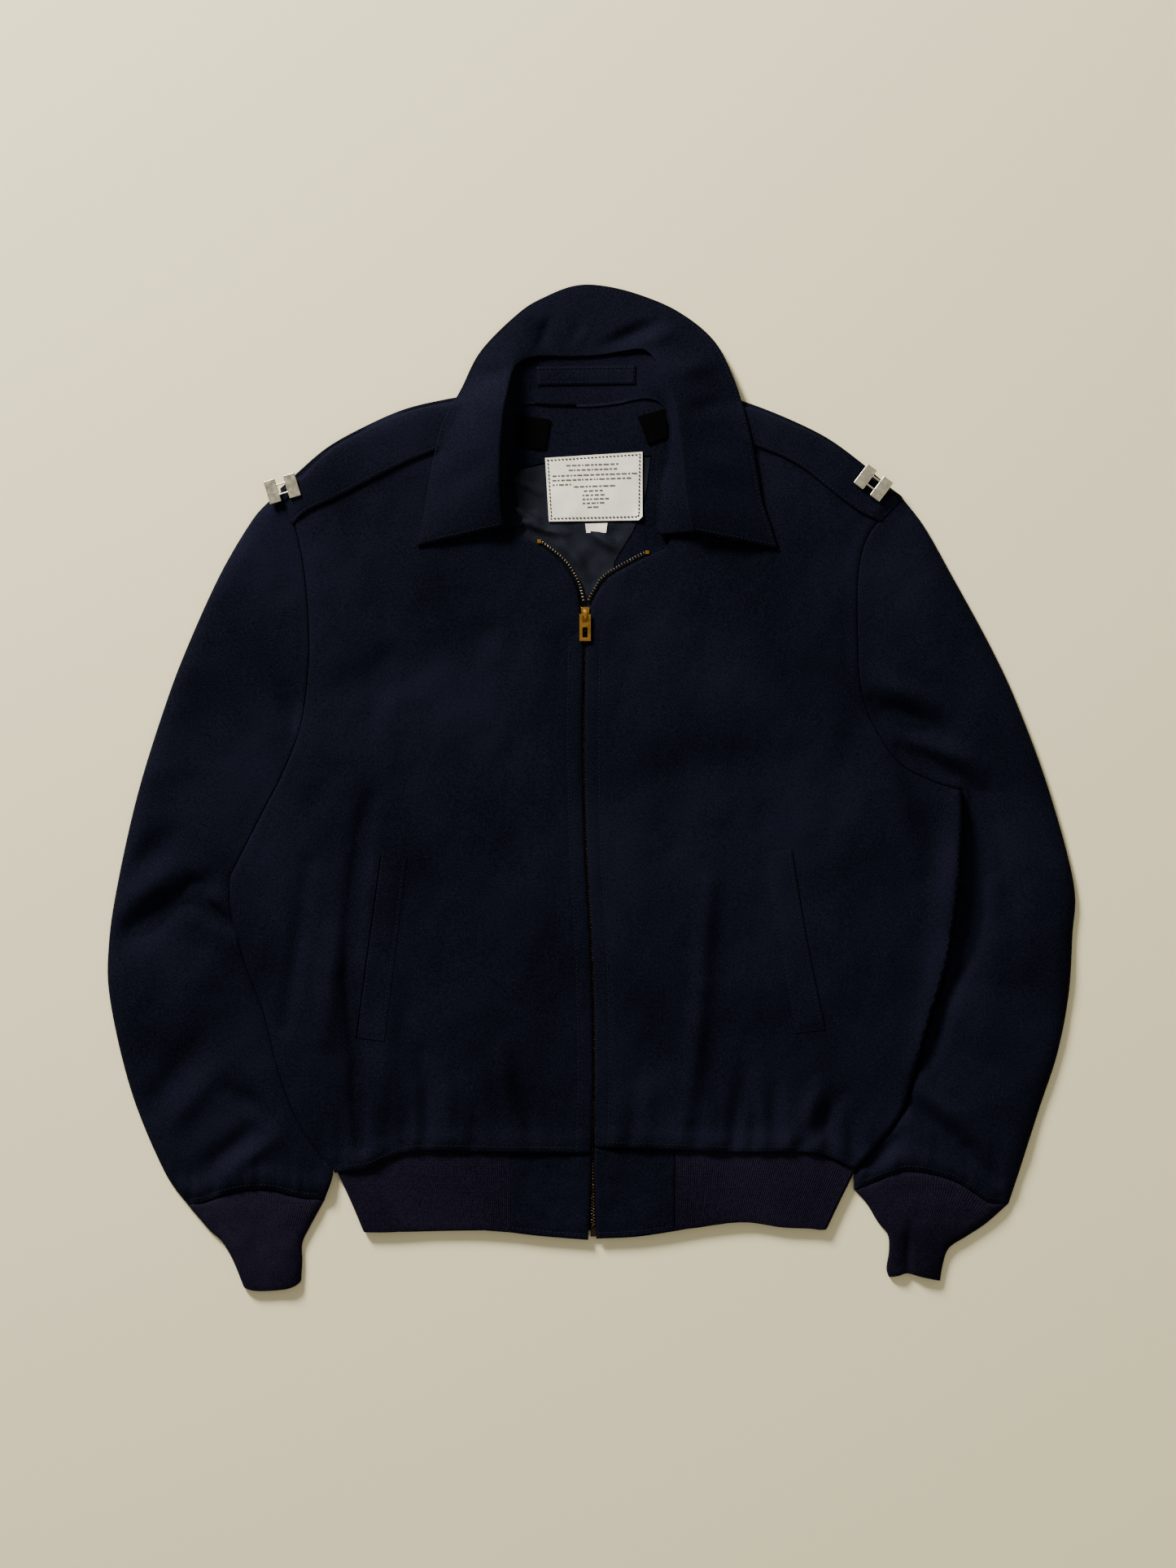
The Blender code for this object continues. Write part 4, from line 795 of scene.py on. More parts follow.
# name, slot, group, clean colour, worn colour, relief in millimetres
METALS = (
    ("brass", "brass", "brass_wear", (0.56, 0.29, 0.05), (0.20, 0.095, 0.016), 0.02),
    ("teeth_brass", "dark_brass", "open_teeth_wear", (0.17, 0.142, 0.10), (0.05, 0.042, 0.032), 0.02),
    # The closed chain's teeth are the open teeth's brass made darker. This is painted shade for the groove
    # between the fronts where they lie, on top of its random wear patches.
    ("dark_brass", "dark_brass", "teeth_wear_and_shade", (0.050, 0.033, 0.020), (0.010, 0.007, 0.005), 0.02),
    ("silver", "silver", "silver_wear", (0.67, 0.62, 0.485), (0.52, 0.475, 0.36), 0.015),
)
for name, slot, group, dark, light, threads, relief_depth, specular, more in CLOTHS:
    material(name, slot, fabric_group(group, dark, light, *threads), relief_depth,
             Specular_IOR_Level=specular, **more)
for name, slot, group, clean, worn, relief_depth in METALS:
    material(name, slot, metal_group(group, clean, worn), relief_depth, Metallic=1.0)
material("label_cloth", "label_cloth", label_group("label"), 0.06, Specular_IOR_Level=0.2)
print("materials:", sorted(materials))

# %% [markdown]
# ## Back and fronts
# The back is one cut that lies flat. Each front lies over it, sewn along the shoulder, armhole, side and
# waist, so it rolls down at the side, stands a little off the back in the middle and blouses above the knit.
# The long creases come from how the wool was folded, and gathers start where the wide body meets the knit.

# %% Back
loop, _ = outline(
    8, ("waist", WAIST_BACK), ("side_left", SIDE_LEFT[::-1]), ("armhole_left", ARMHOLE_LEFT[::-1]),
    ("shoulder_left", SHOULDER_LEFT[::-1]), ("neck", NECK_BACK), ("shoulder_right", SHOULDER_RIGHT),
    ("armhole_right", ARMHOLE_RIGHT), ("side_right", SIDE_RIGHT))
loop = inset(loop, -BACK_REACH)
back = panel("cloth_back", loop, level(BACK_TOP), level(BACK_LOW), "gabardine", 9)
sheet(back, "back_panel", BACK_CUT, area_of(loop))
print("back cloth, square metres:", round(area_of(loop) * 1e-6, 3))


# %% Fronts
def front(name, side, waist, outer, armhole, shoulder, vee, neck, folds, seed, roll_reach, roll_low):
    """A front from its edges. Its side rolls down over a reach, to a share of its height."""
    chain = beside(smooth(ZIP_LINE, 60), ZIP_GAP * side)
    waist = [(x, y - OVERHANG) for x, y in waist]
    loop, places = outline(
        FRONT_STEP, ("waist", waist), ("chain", np.vstack([waist[-1], chain[3:]])),
        ("slider", (chain[-1], vee[0])), ("vee", vee), ("neck", neck), ("shoulder", shoulder),
        ("armhole", armhole), ("side", outer))
    edges = {key: loop[place] for key, place in places.items()}
    lines = {key: line[::3] if len(line) > 9 else line for key, line in edges.items()}
    zip_edge = np.vstack([lines["chain"], lines["slider"], lines["vee"], edges["vee"][-1:]])
    seams = np.vstack([lines["armhole"], edges["armhole"][-1:]])

    def under(p):
        to_zip, to_waist = gap_to(zip_edge, p), gap_to(lines["waist"], p)
        height = FRONT_LOW + FRONT_LOFT * rounded(to_zip, 45) * rounded(gap_to(lines["armhole"], p), 30)
        height += FOLD_GAIN * relief(p, folds) * eased(to_zip, 14) * eased(to_waist + 4, 14)
        height += BLOUSE * (bump(to_waist - 10, 7) + bump(to_waist, 8))
        roll = roll_low + (1 - roll_low) * rounded(gap_to(lines["side"], p), roll_reach)
        roll = np.minimum(roll, rounded(gap_to(lines["shoulder"], p) + 0.6, 13))
        drop = (height - LAYER_LOW) * roll
        return LAYER_LOW + 0.5 * (drop + np.sqrt(drop ** 2 + 1.2 * roll))

    def top(p):
        to_chain, to_waist, to_seams = (gap_to(line, p) for line in (lines["chain"], lines["waist"], seams))
        gathers = ripple(p * (1, 0.14), 13, 4.2, seed) * bump(to_waist - 6, 40)
        wear = ripple(p @ ((1.0, 0.1), (-0.1, 0.5)), 40, 2.0, seed)
        wear += ripple(p @ ((0.9, 0.4), (-0.4, 0.6)), 15, 0.5, seed + 5)
        calm = (0.35 + 0.65 * eased(to_waist, 8)) * eased(to_seams, 12)
        height = under(p) + CLOTH + (wear * eased(to_chain, 20) + gathers) * calm
        height -= 0.5 * (1 - rounded(to_seams, 1.5)) + 1.5 * (1 - rounded(to_waist, 2.6))
        height -= 0.7 * (1 - rounded(gap_to(zip_edge, p), 1.2))
        return height - 0.55 * bump(to_chain - TOPSTITCH, 1.5)

    sheet(panel("cloth_" + name, loop, top, under, "gabardine", FRONT_STEP), name, FRONT_CUT, area_of(loop))


front("front_right", -1, WAIST_RIGHT, SIDE_RIGHT, ARMHOLE_RIGHT, SHOULDER_RIGHT, VEE_RIGHT, NECK_RIGHT,
      FRONT_FOLDS_RIGHT, 3.1, 14, 0.5)
front("front_left", 1, WAIST_LEFT, SIDE_LEFT, ARMHOLE_LEFT, SHOULDER_LEFT, VEE_LEFT, NECK_LEFT,
      FRONT_FOLDS_LEFT, 7.7, 2.8, 0.0)
FRONTS = ["cloth_front_right", "cloth_front_left"]

# %% [markdown]
# ## Sleeves
# A sleeve is one piece sewn into a tube. Laid down it flattens into two layers with a soft fold along the
# outside and a seam inside. The creases run from the elbow, where the arm bent it, and small gathers stand
# above the cuff seam.


# %% Sleeves as flattened tubes
def sleeve(name, armhole, outer, inner_edge, seam, folds, seed, body_reach, body_low):
    """A sleeve, open at both ends. Its inner side dips over a reach, to a share of its height."""
    loop, places = outline(SLEEVE_STEP, ("start", armhole), ("far", inner_edge), ("end", seam[::-1]),
                           ("near", outer[::-1]))
    lines = {key: loop[[*place[::3], place[-1]]] for key, place in places.items()}

    def top(p):
        to_start, to_end = gap_to(lines["start"], p), gap_to(lines["end"], p)
        to_body, to_outside = gap_to(lines["far"], p), gap_to(lines["near"], p)
        to_edge = np.minimum(to_body, to_outside)
        height = ARMHOLE_TOP + (SLEEVE_TOP - ARMHOLE_TOP) * eased(to_start, 30)
        height += 1.6 * bump(to_end - 11, 8) - 1.2 * (1 - eased(to_end, 8))
        height += FOLD_GAIN * relief(p, folds) * eased(to_start + 3, 10) * eased(to_end + 5, 12)
        gathers = ripple(p * (1, 0.15), 8, 2.2, seed) * bump(to_end - 7, 22)
        wear = ripple(p, 40, 1.8, seed) + ripple(p @ ((0.8, 0.5), (-0.5, 0.8)), 16, 0.5, seed + 3)
        height += (wear + gathers) * eased(to_start, 14) * eased(to_end, 5)
        height = np.clip(height, 2.3, 12.4)
        inward = body_low + (1 - body_low) * rounded(to_body, body_reach)
        height = 1.6 + (height - 1.6) * rounded(to_outside, 14) * inward
        height -= 0.5 * (1 - rounded(to_start, 1.5)) * eased(to_edge, 8)
        return height - 1.0 * (1 - rounded(to_end, 2.5)) * eased(to_edge, 6)

    inner = np.vstack([ring_points(loop, 0.8), lattice(loop, SLEEVE_STEP)])
    below = np.vstack([ring_points(loop, 2.6), lattice(loop, COARSE_STEP, 0.9)])
    sewn = np.ones(len(loop), bool)
    for key in ("start", "end"):
        sewn[places[key][:-1]] = False
    upper, lower, faces = layers(loop, inner, below, sewn)
    upper, lower = np.column_stack([upper, top(upper)]), at_height(lower, SLEEVE_LOW)
    lower[:len(loop), 2] = upper[:len(loop), 2] - 0.4
    piece = make("cloth_" + name, np.vstack([upper, lower]), faces, "gabardine")
    long, area = length_of(lines["near"]), 2 * area_of(loop)
    sheet(hollow(piece, SLEEVE_WALL), name, (area / long * 1.15, long * 1.02), area)


sleeve("sleeve_right", ARMHOLE_RIGHT, SLEEVE_OUTER_RIGHT, SLEEVE_INNER_RIGHT, CUFF_SEAM_RIGHT,
       SLEEVE_FOLDS_RIGHT, 2.4, 22, 0.55)
sleeve("sleeve_left", ARMHOLE_LEFT, SLEEVE_OUTER_LEFT, SLEEVE_INNER_LEFT, CUFF_SEAM_LEFT,
       SLEEVE_FOLDS_LEFT, 9.1, 10, 0.1)

# %% [markdown]
# ## Knitted cuffs and waist
# Rib knit stands in small upright cords, so it can stretch. The same number of cords runs from the seam to
# the edge, so they draw together towards the wrist.


# %% Cuffs with their cords
def cuff(name, seam, outer, inner_edge, end, folds, seed):
    """A flattened tube of knit, from a smooth grid between its four edges."""
    rows, columns = 30, CUFF_CORDS * 4 + 1
    u, v = np.linspace(0, 1, columns)[None, :, None], np.linspace(0, 1, rows)[:, None, None]
    a, b = smooth(seam, columns), smooth(end, columns)
    c, d = smooth(outer, rows), smooth(inner_edge, rows)
    flat = between(a[None], b[None], v) + between(c[:, None], d[:, None], u)
    flat -= between(between(a[0], a[-1], u), between(b[0], b[-1], u), v)
    p = flat.reshape(-1, 2)
    height = CUFF_TOP + 1.3 * relief(p, folds) + ripple(p, 15, 0.8, seed)
    height -= 0.7 * (1 - eased(gap_to(b, p), 4)) + 0.8 * (1 - eased(gap_to(a, p), 3))
    height = 1.7 + (height - 1.7) * rounded(np.minimum(gap_to(c, p), gap_to(d, p)), 8)
    cord = np.cos(np.tile(u.ravel() * CUFF_CORDS * math.tau, rows))
    upper = np.column_stack([p, height + CORD_RISE * cord]).reshape(rows, columns, 3)
    lower = np.column_stack([p, 0.35 - 0.1 * cord]).reshape(rows, columns, 3)
    around = np.concatenate([upper, lower[:, ::-1][:, 1:-1]], 1)
    faces = tube_faces(rows, around.shape[1])
    piece = make("knit_" + name, around.reshape(-1, 3), faces, "rib_knit", sharp=180)
    ring = np.vstack([a, d[1:], b[::-1][1:], c[::-1][1:-1]])
    sheet(hollow(piece, CUFF_WALL), name, (2 * length_of(a), length_of(c) * 1.1), 2.6 * area_of(ring))


cuff("cuff_right", CUFF_SEAM_RIGHT, CUFF_OUTER_RIGHT, CUFF_INNER_RIGHT, CUFF_END_RIGHT, CUFF_FOLDS_RIGHT, 10)
cuff("cuff_left", CUFF_SEAM_LEFT, CUFF_OUTER_LEFT, CUFF_INNER_LEFT, CUFF_END_LEFT, CUFF_FOLDS_LEFT, 9)
print("cords on each cuff:", CUFF_CORDS)


# %% Waist knit, from one tab round the back to the other
def turned(start, end, side, steps=14):
    """Places round a folded edge, from the front layer down to the back layer."""
    rise = FRONT_LOW / 2
    angle = math.pi * np.arange(1, steps) / steps
    x = start[0] + (end[0] - start[0]) * angle / math.pi + side * rise * np.sin(angle)
    y = start[1] + (end[1] - start[1]) * angle / math.pi
    return np.column_stack([x, y, KNIT / 2 + rise + rise * np.cos(angle)])


seams = []
for k in (0, 1):
    right, left = (at_height(smooth(edges[k], 310), FRONT_LOW + KNIT / 2)
                   for edges in (RIB_FRONT_RIGHT, RIB_FRONT_LEFT))
    rear = at_height(smooth(RIB_BACK[k], 700), KNIT / 2)
    bends = turned(right[-1], rear[0], -1), turned(left[0], rear[-1], 1)[::-1]
    seams.append(np.vstack([right, bends[0], rear, bends[1], left]))
along = unit(np.gradient(seams[0], axis=0) * (1, 0, 1))
outward = np.column_stack([-along[:, 2], np.zeros(len(along)), along[:, 0]])
run = run_of(seams[0])
cord = CORD_RISE * np.cos(run / WAIST_CORD * math.tau)
shares = (0, 0.015, 0.06, 0.2, 0.4, 0.6, 0.8, 0.93, 0.985, 1.0)
half = 0.5 * (KNIT - 0.7) * np.array([0.5, 0.85, 1, 1, 1, 1, 1, 1, 0.85, 0.4])
soft = np.array([noise.noise(Vector((s / 26, 0.5, 0))) for s in run])
faces_of_knit = []
for side in (-1, 1):
    rows = []
    for share, thick in zip(shares, half):
        rise = side * (thick + cord * (thick > 0.6)) + 0.35 * math.sin(math.pi * share)
        rise += soft * share * (1 - share)
        rows.append(between(*seams, share) + outward * rise[:, None])
    faces_of_knit.append(rows)
waist = wall("knit_waist", *faces_of_knit, "rib_knit")
sheet(waist, "waist_rib", (run[-1], 66), run[-1] * 60)
print("waist knit length, mm:", round(float(run[-1])), "cords:", round(float(run[-1] / WAIST_CORD)))


# %% Waist tabs
def tab(name, edges, seed):
    """A cloth end of the waistband, from its seam edge to its hem edge."""
    a, b = smooth(edges[0], 44), smooth(edges[1], 44)
    share = np.concatenate([[0, 0.012], np.linspace(0.04, 0.96, 34), [0.988, 1.0]])[:, None, None]
    flat = between(a[None], b[None], share)
    p = flat.reshape(-1, 2)
    to_seam, to_hem = gap_to(a, p), gap_to(b, p)
    to_ends = np.minimum(*(gap_to(np.array((a[k], b[k])), p) for k in (0, -1)))
    height = FRONT_LOW + CLOTH + ripple(p @ ((0.8, 0.6), (-0.6, 0.8)), 13, 0.7, seed) * eased(to_hem, 8)
    height -= 0.8 * (1 - rounded(np.minimum(to_ends, to_hem), 1.2)) + 1.0 * (1 - rounded(to_seam, 2.5))
    height -= 0.4 * bump(to_hem - 4, 1.2)
    shape = (*flat.shape[:2], 3)
    upper, lower = np.column_stack([p, height]), at_height(p, FRONT_LOW)
    piece = wall("cloth_" + name, upper.reshape(shape), lower.reshape(shape), "gabardine")
    sheet(piece, name, (66, 72), length_of(a) * np.linalg.norm(a[0] - b[0]))


tab("waist_tab_right", TAB_RIGHT, 15)
tab("waist_tab_left", TAB_LEFT, 14)
print("waist tab height, mm:", round(TAB_RIGHT[0][0][1] - TAB_RIGHT[1][0][1], 1))

# %% [markdown]
# ## Straps and pocket welts
# These pieces are sewn on top, so each takes its height from the cloth below it and adds its own thickness.


# %% Strips that lie on other cloth
def laid_strip(name, node, rows, under, thick=CLOTH, seat=0.3, lowest=0.0, sewn=1.0, lip=None):
    """A strip from rows of places, as high as what it lies on.

    Where it is sewn down it thins to a share of its thickness: at its first row, or with a lip given, at its
    last row and column. The lip is the height of the two first columns, and 0 leaves them as they are.
    """
    rows = np.asarray(rows)
    p = rows.reshape(-1, 2)
    rest = np.maximum(top_at(under, p, 0.8) + seat, lowest).reshape(rows.shape[:2])
    for _ in range(3):
        rest[1:-1] = np.maximum(rest[1:-1], (rest[:-2] + rest[2:]) / 2)
    held = rows[0] if lip is None else np.vstack([rows[:, -1], rows[-1]])
    thick = (thick * (sewn + (1 - sewn) * eased(gap_to(held, p), 9))).reshape(rest.shape)
    if lip:
        thick[:, :2] = lip
        thick[:, 2] = 0.05
    rim = np.vstack([rows[0], rows[1:, -1], rows[-1, ::-1][1:], rows[::-1, 0][1:]])
    to_rim = gap_to(rim[::2], p).reshape(rest.shape)
    top = rest + thick - thick * 0.4 * (1 - rounded(to_rim, 1.3)) - 0.3 * bump(to_rim - 2.6, 0.9)
    piece = wall(name, np.dstack([rows, top]), np.dstack([rows, rest]), "gabardine")
    width, length = sorted((length_of(rows[len(rows) // 2]), length_of(rows[:, 0])))
    sheet(piece, node, (width * 1.02, length * 1.02), width * length)


def across(a, b, count, columns):
    """Rows of places from one edge to the other, closer together at both."""
    share = np.concatenate([[0, 0.02, 0.06], np.linspace(0.1, 0.9, columns), [0.94, 0.98, 1]])[None, :, None]
    return between(smooth(a, count)[:, None], smooth(b, count)[:, None], share)


for side, strap in (("right", STRAP_RIGHT), ("left", STRAP_LEFT)):
    laid_strip("cloth_strap_" + side, "shoulder_strap_" + side, across(*strap, 70, 24),
               ["cloth_front_" + side, "cloth_sleeve_" + side, "cloth_back"], lowest=0.9, sewn=0.3)
for side, welt, thick, lip in (("right", WELT_RIGHT, 0.9, 1.3), ("left", WELT_LEFT, 1.0, 0)):
    laid_strip("cloth_welt_" + side, "pocket_welt_" + side, across(*welt, 90, 12), ["cloth_front_" + side],
               thick, seat=0.2, sewn=0.25, lip=lip)
print("strips on top:", [n for n in trees if "strap" in n or "welt" in n])

# %% [markdown]
# ## Collar
# A shirt collar is two bands: the stand goes up from the neck seam, and the fall turns over its top and
# lies back down. Seen from above, the fall's leaves spread over the fronts, and behind the neck the whole
# band lies nearly flat with soft folds.

# %% Fall
rows = smooth([c + f for c, f in zip(COLLAR, STAND_FOOT)], COLLAR_SECTIONS)
roll, edge, foot = rows[:, 0:3], rows[:, 3:6], rows[:, 6:9]
out = unit(edge[:, :2] - roll[:, :2])
turn = np.clip((roll[:, 2] - 3.5) / 9, 0.35, 2.0)
fall = []
for share in np.concatenate([[0, 0.02, 0.05], np.linspace(0.09, 0.93, 34), [0.96, 0.985, 1.0]]):
    xy = between(roll[:, :2] + out * turn[:, None], edge[:, :2], share)
    height = between(edge[:, 2], roll[:, 2], 1 - share ** 1.25)
    height = height + 2.4 * relief(xy, COLLAR_FOLDS) * np.sin(math.pi * min(max(share, 0.03), 0.97)) ** 0.6
    rest = top_at(FRONTS + ["cloth_strap_right", "cloth_strap_left", "cloth_back"], xy, 1.5)
    drop = height - 1.5 - (rest + 0.35)
    height = np.where(rest > 0, rest + 1.85 + 0.5 * (drop + np.sqrt(drop ** 2 + 1)), np.maximum(height, 1.7))
    fall.append(np.column_stack([xy, height]))
fall = np.array(fall)
flat = fall[:, :, :2]
rims = (edge[None, :, :2], flat[:, :1], flat[:, -1:])
to_rim = np.min([np.linalg.norm(flat - rim, axis=2) for rim in rims], 0)
fall[:, :, 2] -= 0.45 * (1 - rounded(to_rim, 1.2)) + 0.4 * bump(to_rim - 3.0, 1.1)

# The rows that turn over the roll, from inside the neck up to the fall
over = []
for degrees in (-35, -5, 25, 50, 72):
    angle = math.radians(degrees)
    xy = roll[:, :2] + out * (turn * (1 - math.cos(angle)))[:, None]
    over.append(np.column_stack([xy, fall[0][:, 2] - turn * (1 - math.sin(angle))]))
fall = np.concatenate([over, fall])
collar = make("cloth_collar", fall.reshape(-1, 3), grid_faces(len(fall), len(roll)), "gabardine")
sheet(hollow(collar, COLLAR_WALL), "collar", (length_of(edge), 78), area_of_grid(fall))
print("collar edge length, mm:", round(length_of(edge)))

# %% Stand
head = np.column_stack([roll[:, :2] + out * 1.5, roll[:, 2] - STAND_DROP])
lift = np.clip((head[:, 2] - foot[:, 2]) / 14, 0, 1)
sewn = foot.copy()
sewn[:, :2] += unit((0, 270) - foot[:, :2]) * (3.0 - 1.6 * eased(foot[:, 1] - 297, 6))[:, None]
sewn[:, 2] = np.maximum(foot[:, 2], 3.4) + 0.1
stand = [sewn, between(foot, sewn, 0.92)]
for share in np.linspace(0.04, 1, 15):
    place = between(foot, head, share)
    place[:, 2] = np.maximum(place[:, 2], 3.62 - 0.7 * share)
    place[:, :2] -= out * (0.9 * lift * math.sin(math.pi * share))[:, None]
    place[:, 2] += 0.25 * ripple(place[:, :2], 12, 1.0, 4.4) * math.sin(math.pi * share)
    stand.append(place)
stand = np.array(stand)
piece = make("cloth_stand", stand.reshape(-1, 3), grid_faces(len(stand), len(roll)), "gabardine")
sheet(hollow(piece, STAND_WALL), "collar_stand", (length_of(foot), 42), area_of_grid(stand))
print("stand foot length, mm:", round(length_of(foot)))

# %% [markdown]
# ## Inside the neck
# The open neck shows the facing, the satin lining with its loose wrinkles, the label sewn over both, two
# dark fastener patches and the hanger loop on the stand.


# %% Facing, lining, patches, label and loop
def neck_piece(name, node, table, top, low, material, step):
    """A small piece from the corners of its outline, from a flat underside up to its own top."""
    corners = [*table, table[0]]
    loop, _ = outline(step, *((str(k), corners[k:k + 2]) for k in range(len(table))))
    piece = panel(name, loop, top, level(low), material, step)
    width, depth = (loop.max(0) - loop.min(0)) * 1.02
    sheet(piece, node, (width, max(depth, 10.5)), area_of(loop))


LABEL_EDGE = np.array(LABEL, float)
NECK_HOLE = np.array([*VEE_RIGHT, *NECK_RIGHT[1:3], *NECK_LEFT[3::-1], *VEE_LEFT[::-1]], float)


def lining_top(p):
    """The lining wrinkles inside the open neck, and lies calm under the fronts and the label."""
    clear = eased(gap_to_border(LABEL_EDGE, p), 9) * ~inside(LABEL_EDGE, p)
    clear = clear * eased(gap_to(NECK_HOLE, p) - 1.5, 8) * inside(NECK_HOLE, p)
    folds = relief(p, LINING_FOLDS) + ripple(p @ ((0.8, 0.7), (-0.6, 0.7)), 12, 0.7, 6.6)
    return LINING_TOP + np.clip(2.0 * folds, -0.7, 3.6) * clear


def label_top(p):
    """The label waves a little, dips at its stitches and lifts at one corner."""
    height = SEWN_LOW + 0.9 + ripple(p, 15, 0.45, 8) + 1.8 * bump(np.linalg.norm(p - (41, 214), axis=1), 7)
    return height - 0.25 * bump(gap_to_border(LABEL_EDGE, p) - 2.0, 0.6)


neck_piece("cloth_facing", "neck_facing", FACING, lambda p: FACING_TOP + ripple(p, 14, 0.2, 3.3), LAYER_LOW,
           "gabardine", 2.6)
neck_piece("cloth_lining", "lining_back", LINING, lining_top, LAYER_LOW, "satin_lining", 1.9)
for side, table, seed in (("right", PATCH_RIGHT, 1), ("left", PATCH_LEFT, 2)):
    neck_piece("patch_pile_" + side, "patch_" + side, table,
               lambda p: SEWN_LOW + 1.4 + ripple(p, 1.6, 0.5, seed), SEWN_LOW, "hook_fastener", 1.0)
neck_piece("woven_label", "label", LABEL, label_top, SEWN_LOW, "label_cloth", 1.3)
neck_piece("woven_size_tab", "size_tab", SIZE_TAB, lambda p: SIZE_TAB_LOW + 0.8 + ripple(p, 6, 0.2, 5),
           SIZE_TAB_LOW, "label_cloth", 1.2)
a, b, c, d = np.array(HANGER, float)
ends, depth = np.linspace(0, 1, 46)[None, :, None], np.linspace(0, 1, 12)[:, None, None]
places = between(between(a, b, ends), between(d, c, ends), depth)
laid_strip("cloth_hanger", "hanger_loop", places, ["cloth_stand"], seat=0.5)
print("inside the neck:", [n for n in trees if n.startswith(("woven", "patch", "cloth_l", "cloth_f"))])

# %% [markdown]
# ## Zip
# A metal zip is two tapes with a row of cast teeth along each edge. Below the slider the rows mesh into one
# chain, and above it they part. The slider is left where the photograph shows it, and its pull swings.


# %% Tapes and teeth
def many(name, spots, ways, form, faces, material):
    """One piece of copies of a small form, each at a spot and turned along its way."""
    forms = []
    for spot, way in zip(spots, unit(ways)):
        side = unit(np.cross(way, (0, 0, 1)))
        forms.append(spot + form @ np.array((side, way, np.cross(side, way))))
    return joined(name, forms, faces, material)


def chamfered(wide, long, high, edge):
    """A small block with its upper edges cut back."""
    form = [(x * (wide / 2 - cut), y * (long / 2 - cut), z)
            for cut, z in ((0, 0), (0, high - edge), (edge, high)) for x, y in CORNERS]
    return np.array(form), closed_faces(3, 4)


def along_path(path, pitch):
    """Even places along a path with its direction there."""
    count = int(length_of(path) / pitch) + 1
    spots = smooth(path, count) if len(path) < 30 else smooth(path[::max(len(path) // 60, 1)], count)
    return spots, np.gradient(spots, axis=0)


def tape(name, line, form, low):
    """A woven tape along a line. Its form gives the distance and the height of each thread line."""
    upper = [at_height(beside(line, gap), z) for gap, z in form]
    lower = [at_height(beside(line, gap), low) for gap, _ in form]
    return wall(name, upper, lower, "zip_tape")


closed = smooth([CHAIN_FOOT, *ZIP_LINE, CHAIN_HEAD], 120)
piece = tape("woven_tape", closed,
             ((-10, 3.2), (-5, 3.3), (-2.2, 3.4), (0, 3.4), (2.2, 3.4), (5, 3.3), (10, 3.2)), TAPE_LOW)
sheet(piece, "zip_chain", (20.5, length_of(closed) + 1), 20 * length_of(closed))
spots, ways = along_path(closed, CLOSED_PITCH)
sides = np.where(np.arange(len(spots)) % 2, TOOTH_SHIFT, -TOOTH_SHIFT)[:, None]
# The closed teeth take that darkened brass: painted shade of the groove they sit in.
many("teeth_closed", at_height(beside(spots, sides), TAPE_TOP - 0.1), at_height(ways, 0),
     *chamfered(2.6, 1.0, 1.1, 0.24), "dark_brass")
for name, vee, side in (("right", VEE_RIGHT, 1), ("left", VEE_LEFT, -1)):
    line = smooth(vee[:4], 60)
    form = ((-1.5, 4.6), (0.2, 4.5), (1.8, 4.3), (3.5, 4.1))
    tape("tape_open_" + name, line, [(gap * side, z) for gap, z in form], LINING_TOP + 0.4)
    spots, ways = along_path(beside(line, 3.4 * side), OPEN_PITCH)
    teeth = many("teeth_open_" + name, at_height(spots, LINING_TOP + 1.05)[1:-1], at_height(ways, 0)[1:-1],
                 *chamfered(2.2, 1.25, 1.7, 0.3), "teeth_brass")
    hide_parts("zip_edge_" + name)

# %% [markdown]
# ## Metal trim
# The slider, its pull, the stops and the badges are cast or pressed, so no edge is sharp. Each takes the
# exact form of its solid, and then its edges are rounded.


# %% Rounded metal pieces
def rounded_metal(node, name, width, material, body="jacket", segments=3):
    """The form of a solid with its flat faces made whole and its edges rounded."""
    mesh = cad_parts[node].data.copy()
    form = bmesh.new()
    form.from_mesh(mesh)
    bmesh.ops.remove_doubles(form, verts=form.verts, dist=1e-6)
    bmesh.ops.dissolve_limit(form, angle_limit=math.radians(2), verts=form.verts, edges=form.edges)
    form.to_mesh(mesh)
    form.free()
    mesh.materials.clear()
    piece = dressed(name, mesh, material, body)
    soft = piece.modifiers.new("edges", "BEVEL")
    soft.width = width * MM
    soft.segments = segments
    soft.limit_method = "ANGLE"
    soft.angle_limit = math.radians(25)
    soft.harden_normals = True
    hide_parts(node)


rounded_metal("zip_slider", "slider_body", 0.35, "brass")
rounded_metal("zip_pull", "pull_plate", 0.3, "brass", "pull_tab")
rounded_metal("zip_stop_right", "stop_right", 0.35, "brass")
rounded_metal("zip_stop_left", "stop_left", 0.35, "brass")
# The box at the chain's foot shares that darkened brass, and so its painted shade.
rounded_metal("zip_box", "chain_box", 0.25, "dark_brass")
for side in ("right", "left"):
    rounded_metal("badge_" + side, "bars_" + side, 0.65, "silver", segments=4)

# %% [markdown]
# ## Topstitching
# Rows of stitches hold the folded edges flat. A lockstitch shows as short raised dashes, about three
# millimetres long, that sink a little into the cloth at each end.


# %% Rows of stitches
def sew(name, line, on, material="thread", long=2.5, pitch=3.2, thick=0.34, lift=0.05):
    """Stitches along a line, resting on the named cloth."""
    spots, ways = along_path(np.asarray(line)[:, :2], pitch)
    ring = [(math.cos(k * math.tau / 5), math.sin(k * math.tau / 5)) for k in range(5)]
    form = [(x * thick * r, y * long / 2, z * thick * r - sink) for y, r, sink in
            ((-1, 0.5, 0.25), (-0.5, 1, 0.0), (0.5, 1, 0.0), (1, 0.5, 0.25)) for x, z in ring]
    ways = unit(ways)
    here, ahead, behind = (top_at([on], spots + ways * d) for d in (0.0, long / 2, -long / 2))
    places = np.column_stack([spots, here + lift])[here > 0]
    slopes = np.column_stack([ways * long, ahead - behind])[here > 0]
    many(name, places, slopes, np.array(form), closed_faces(4, 5), material)


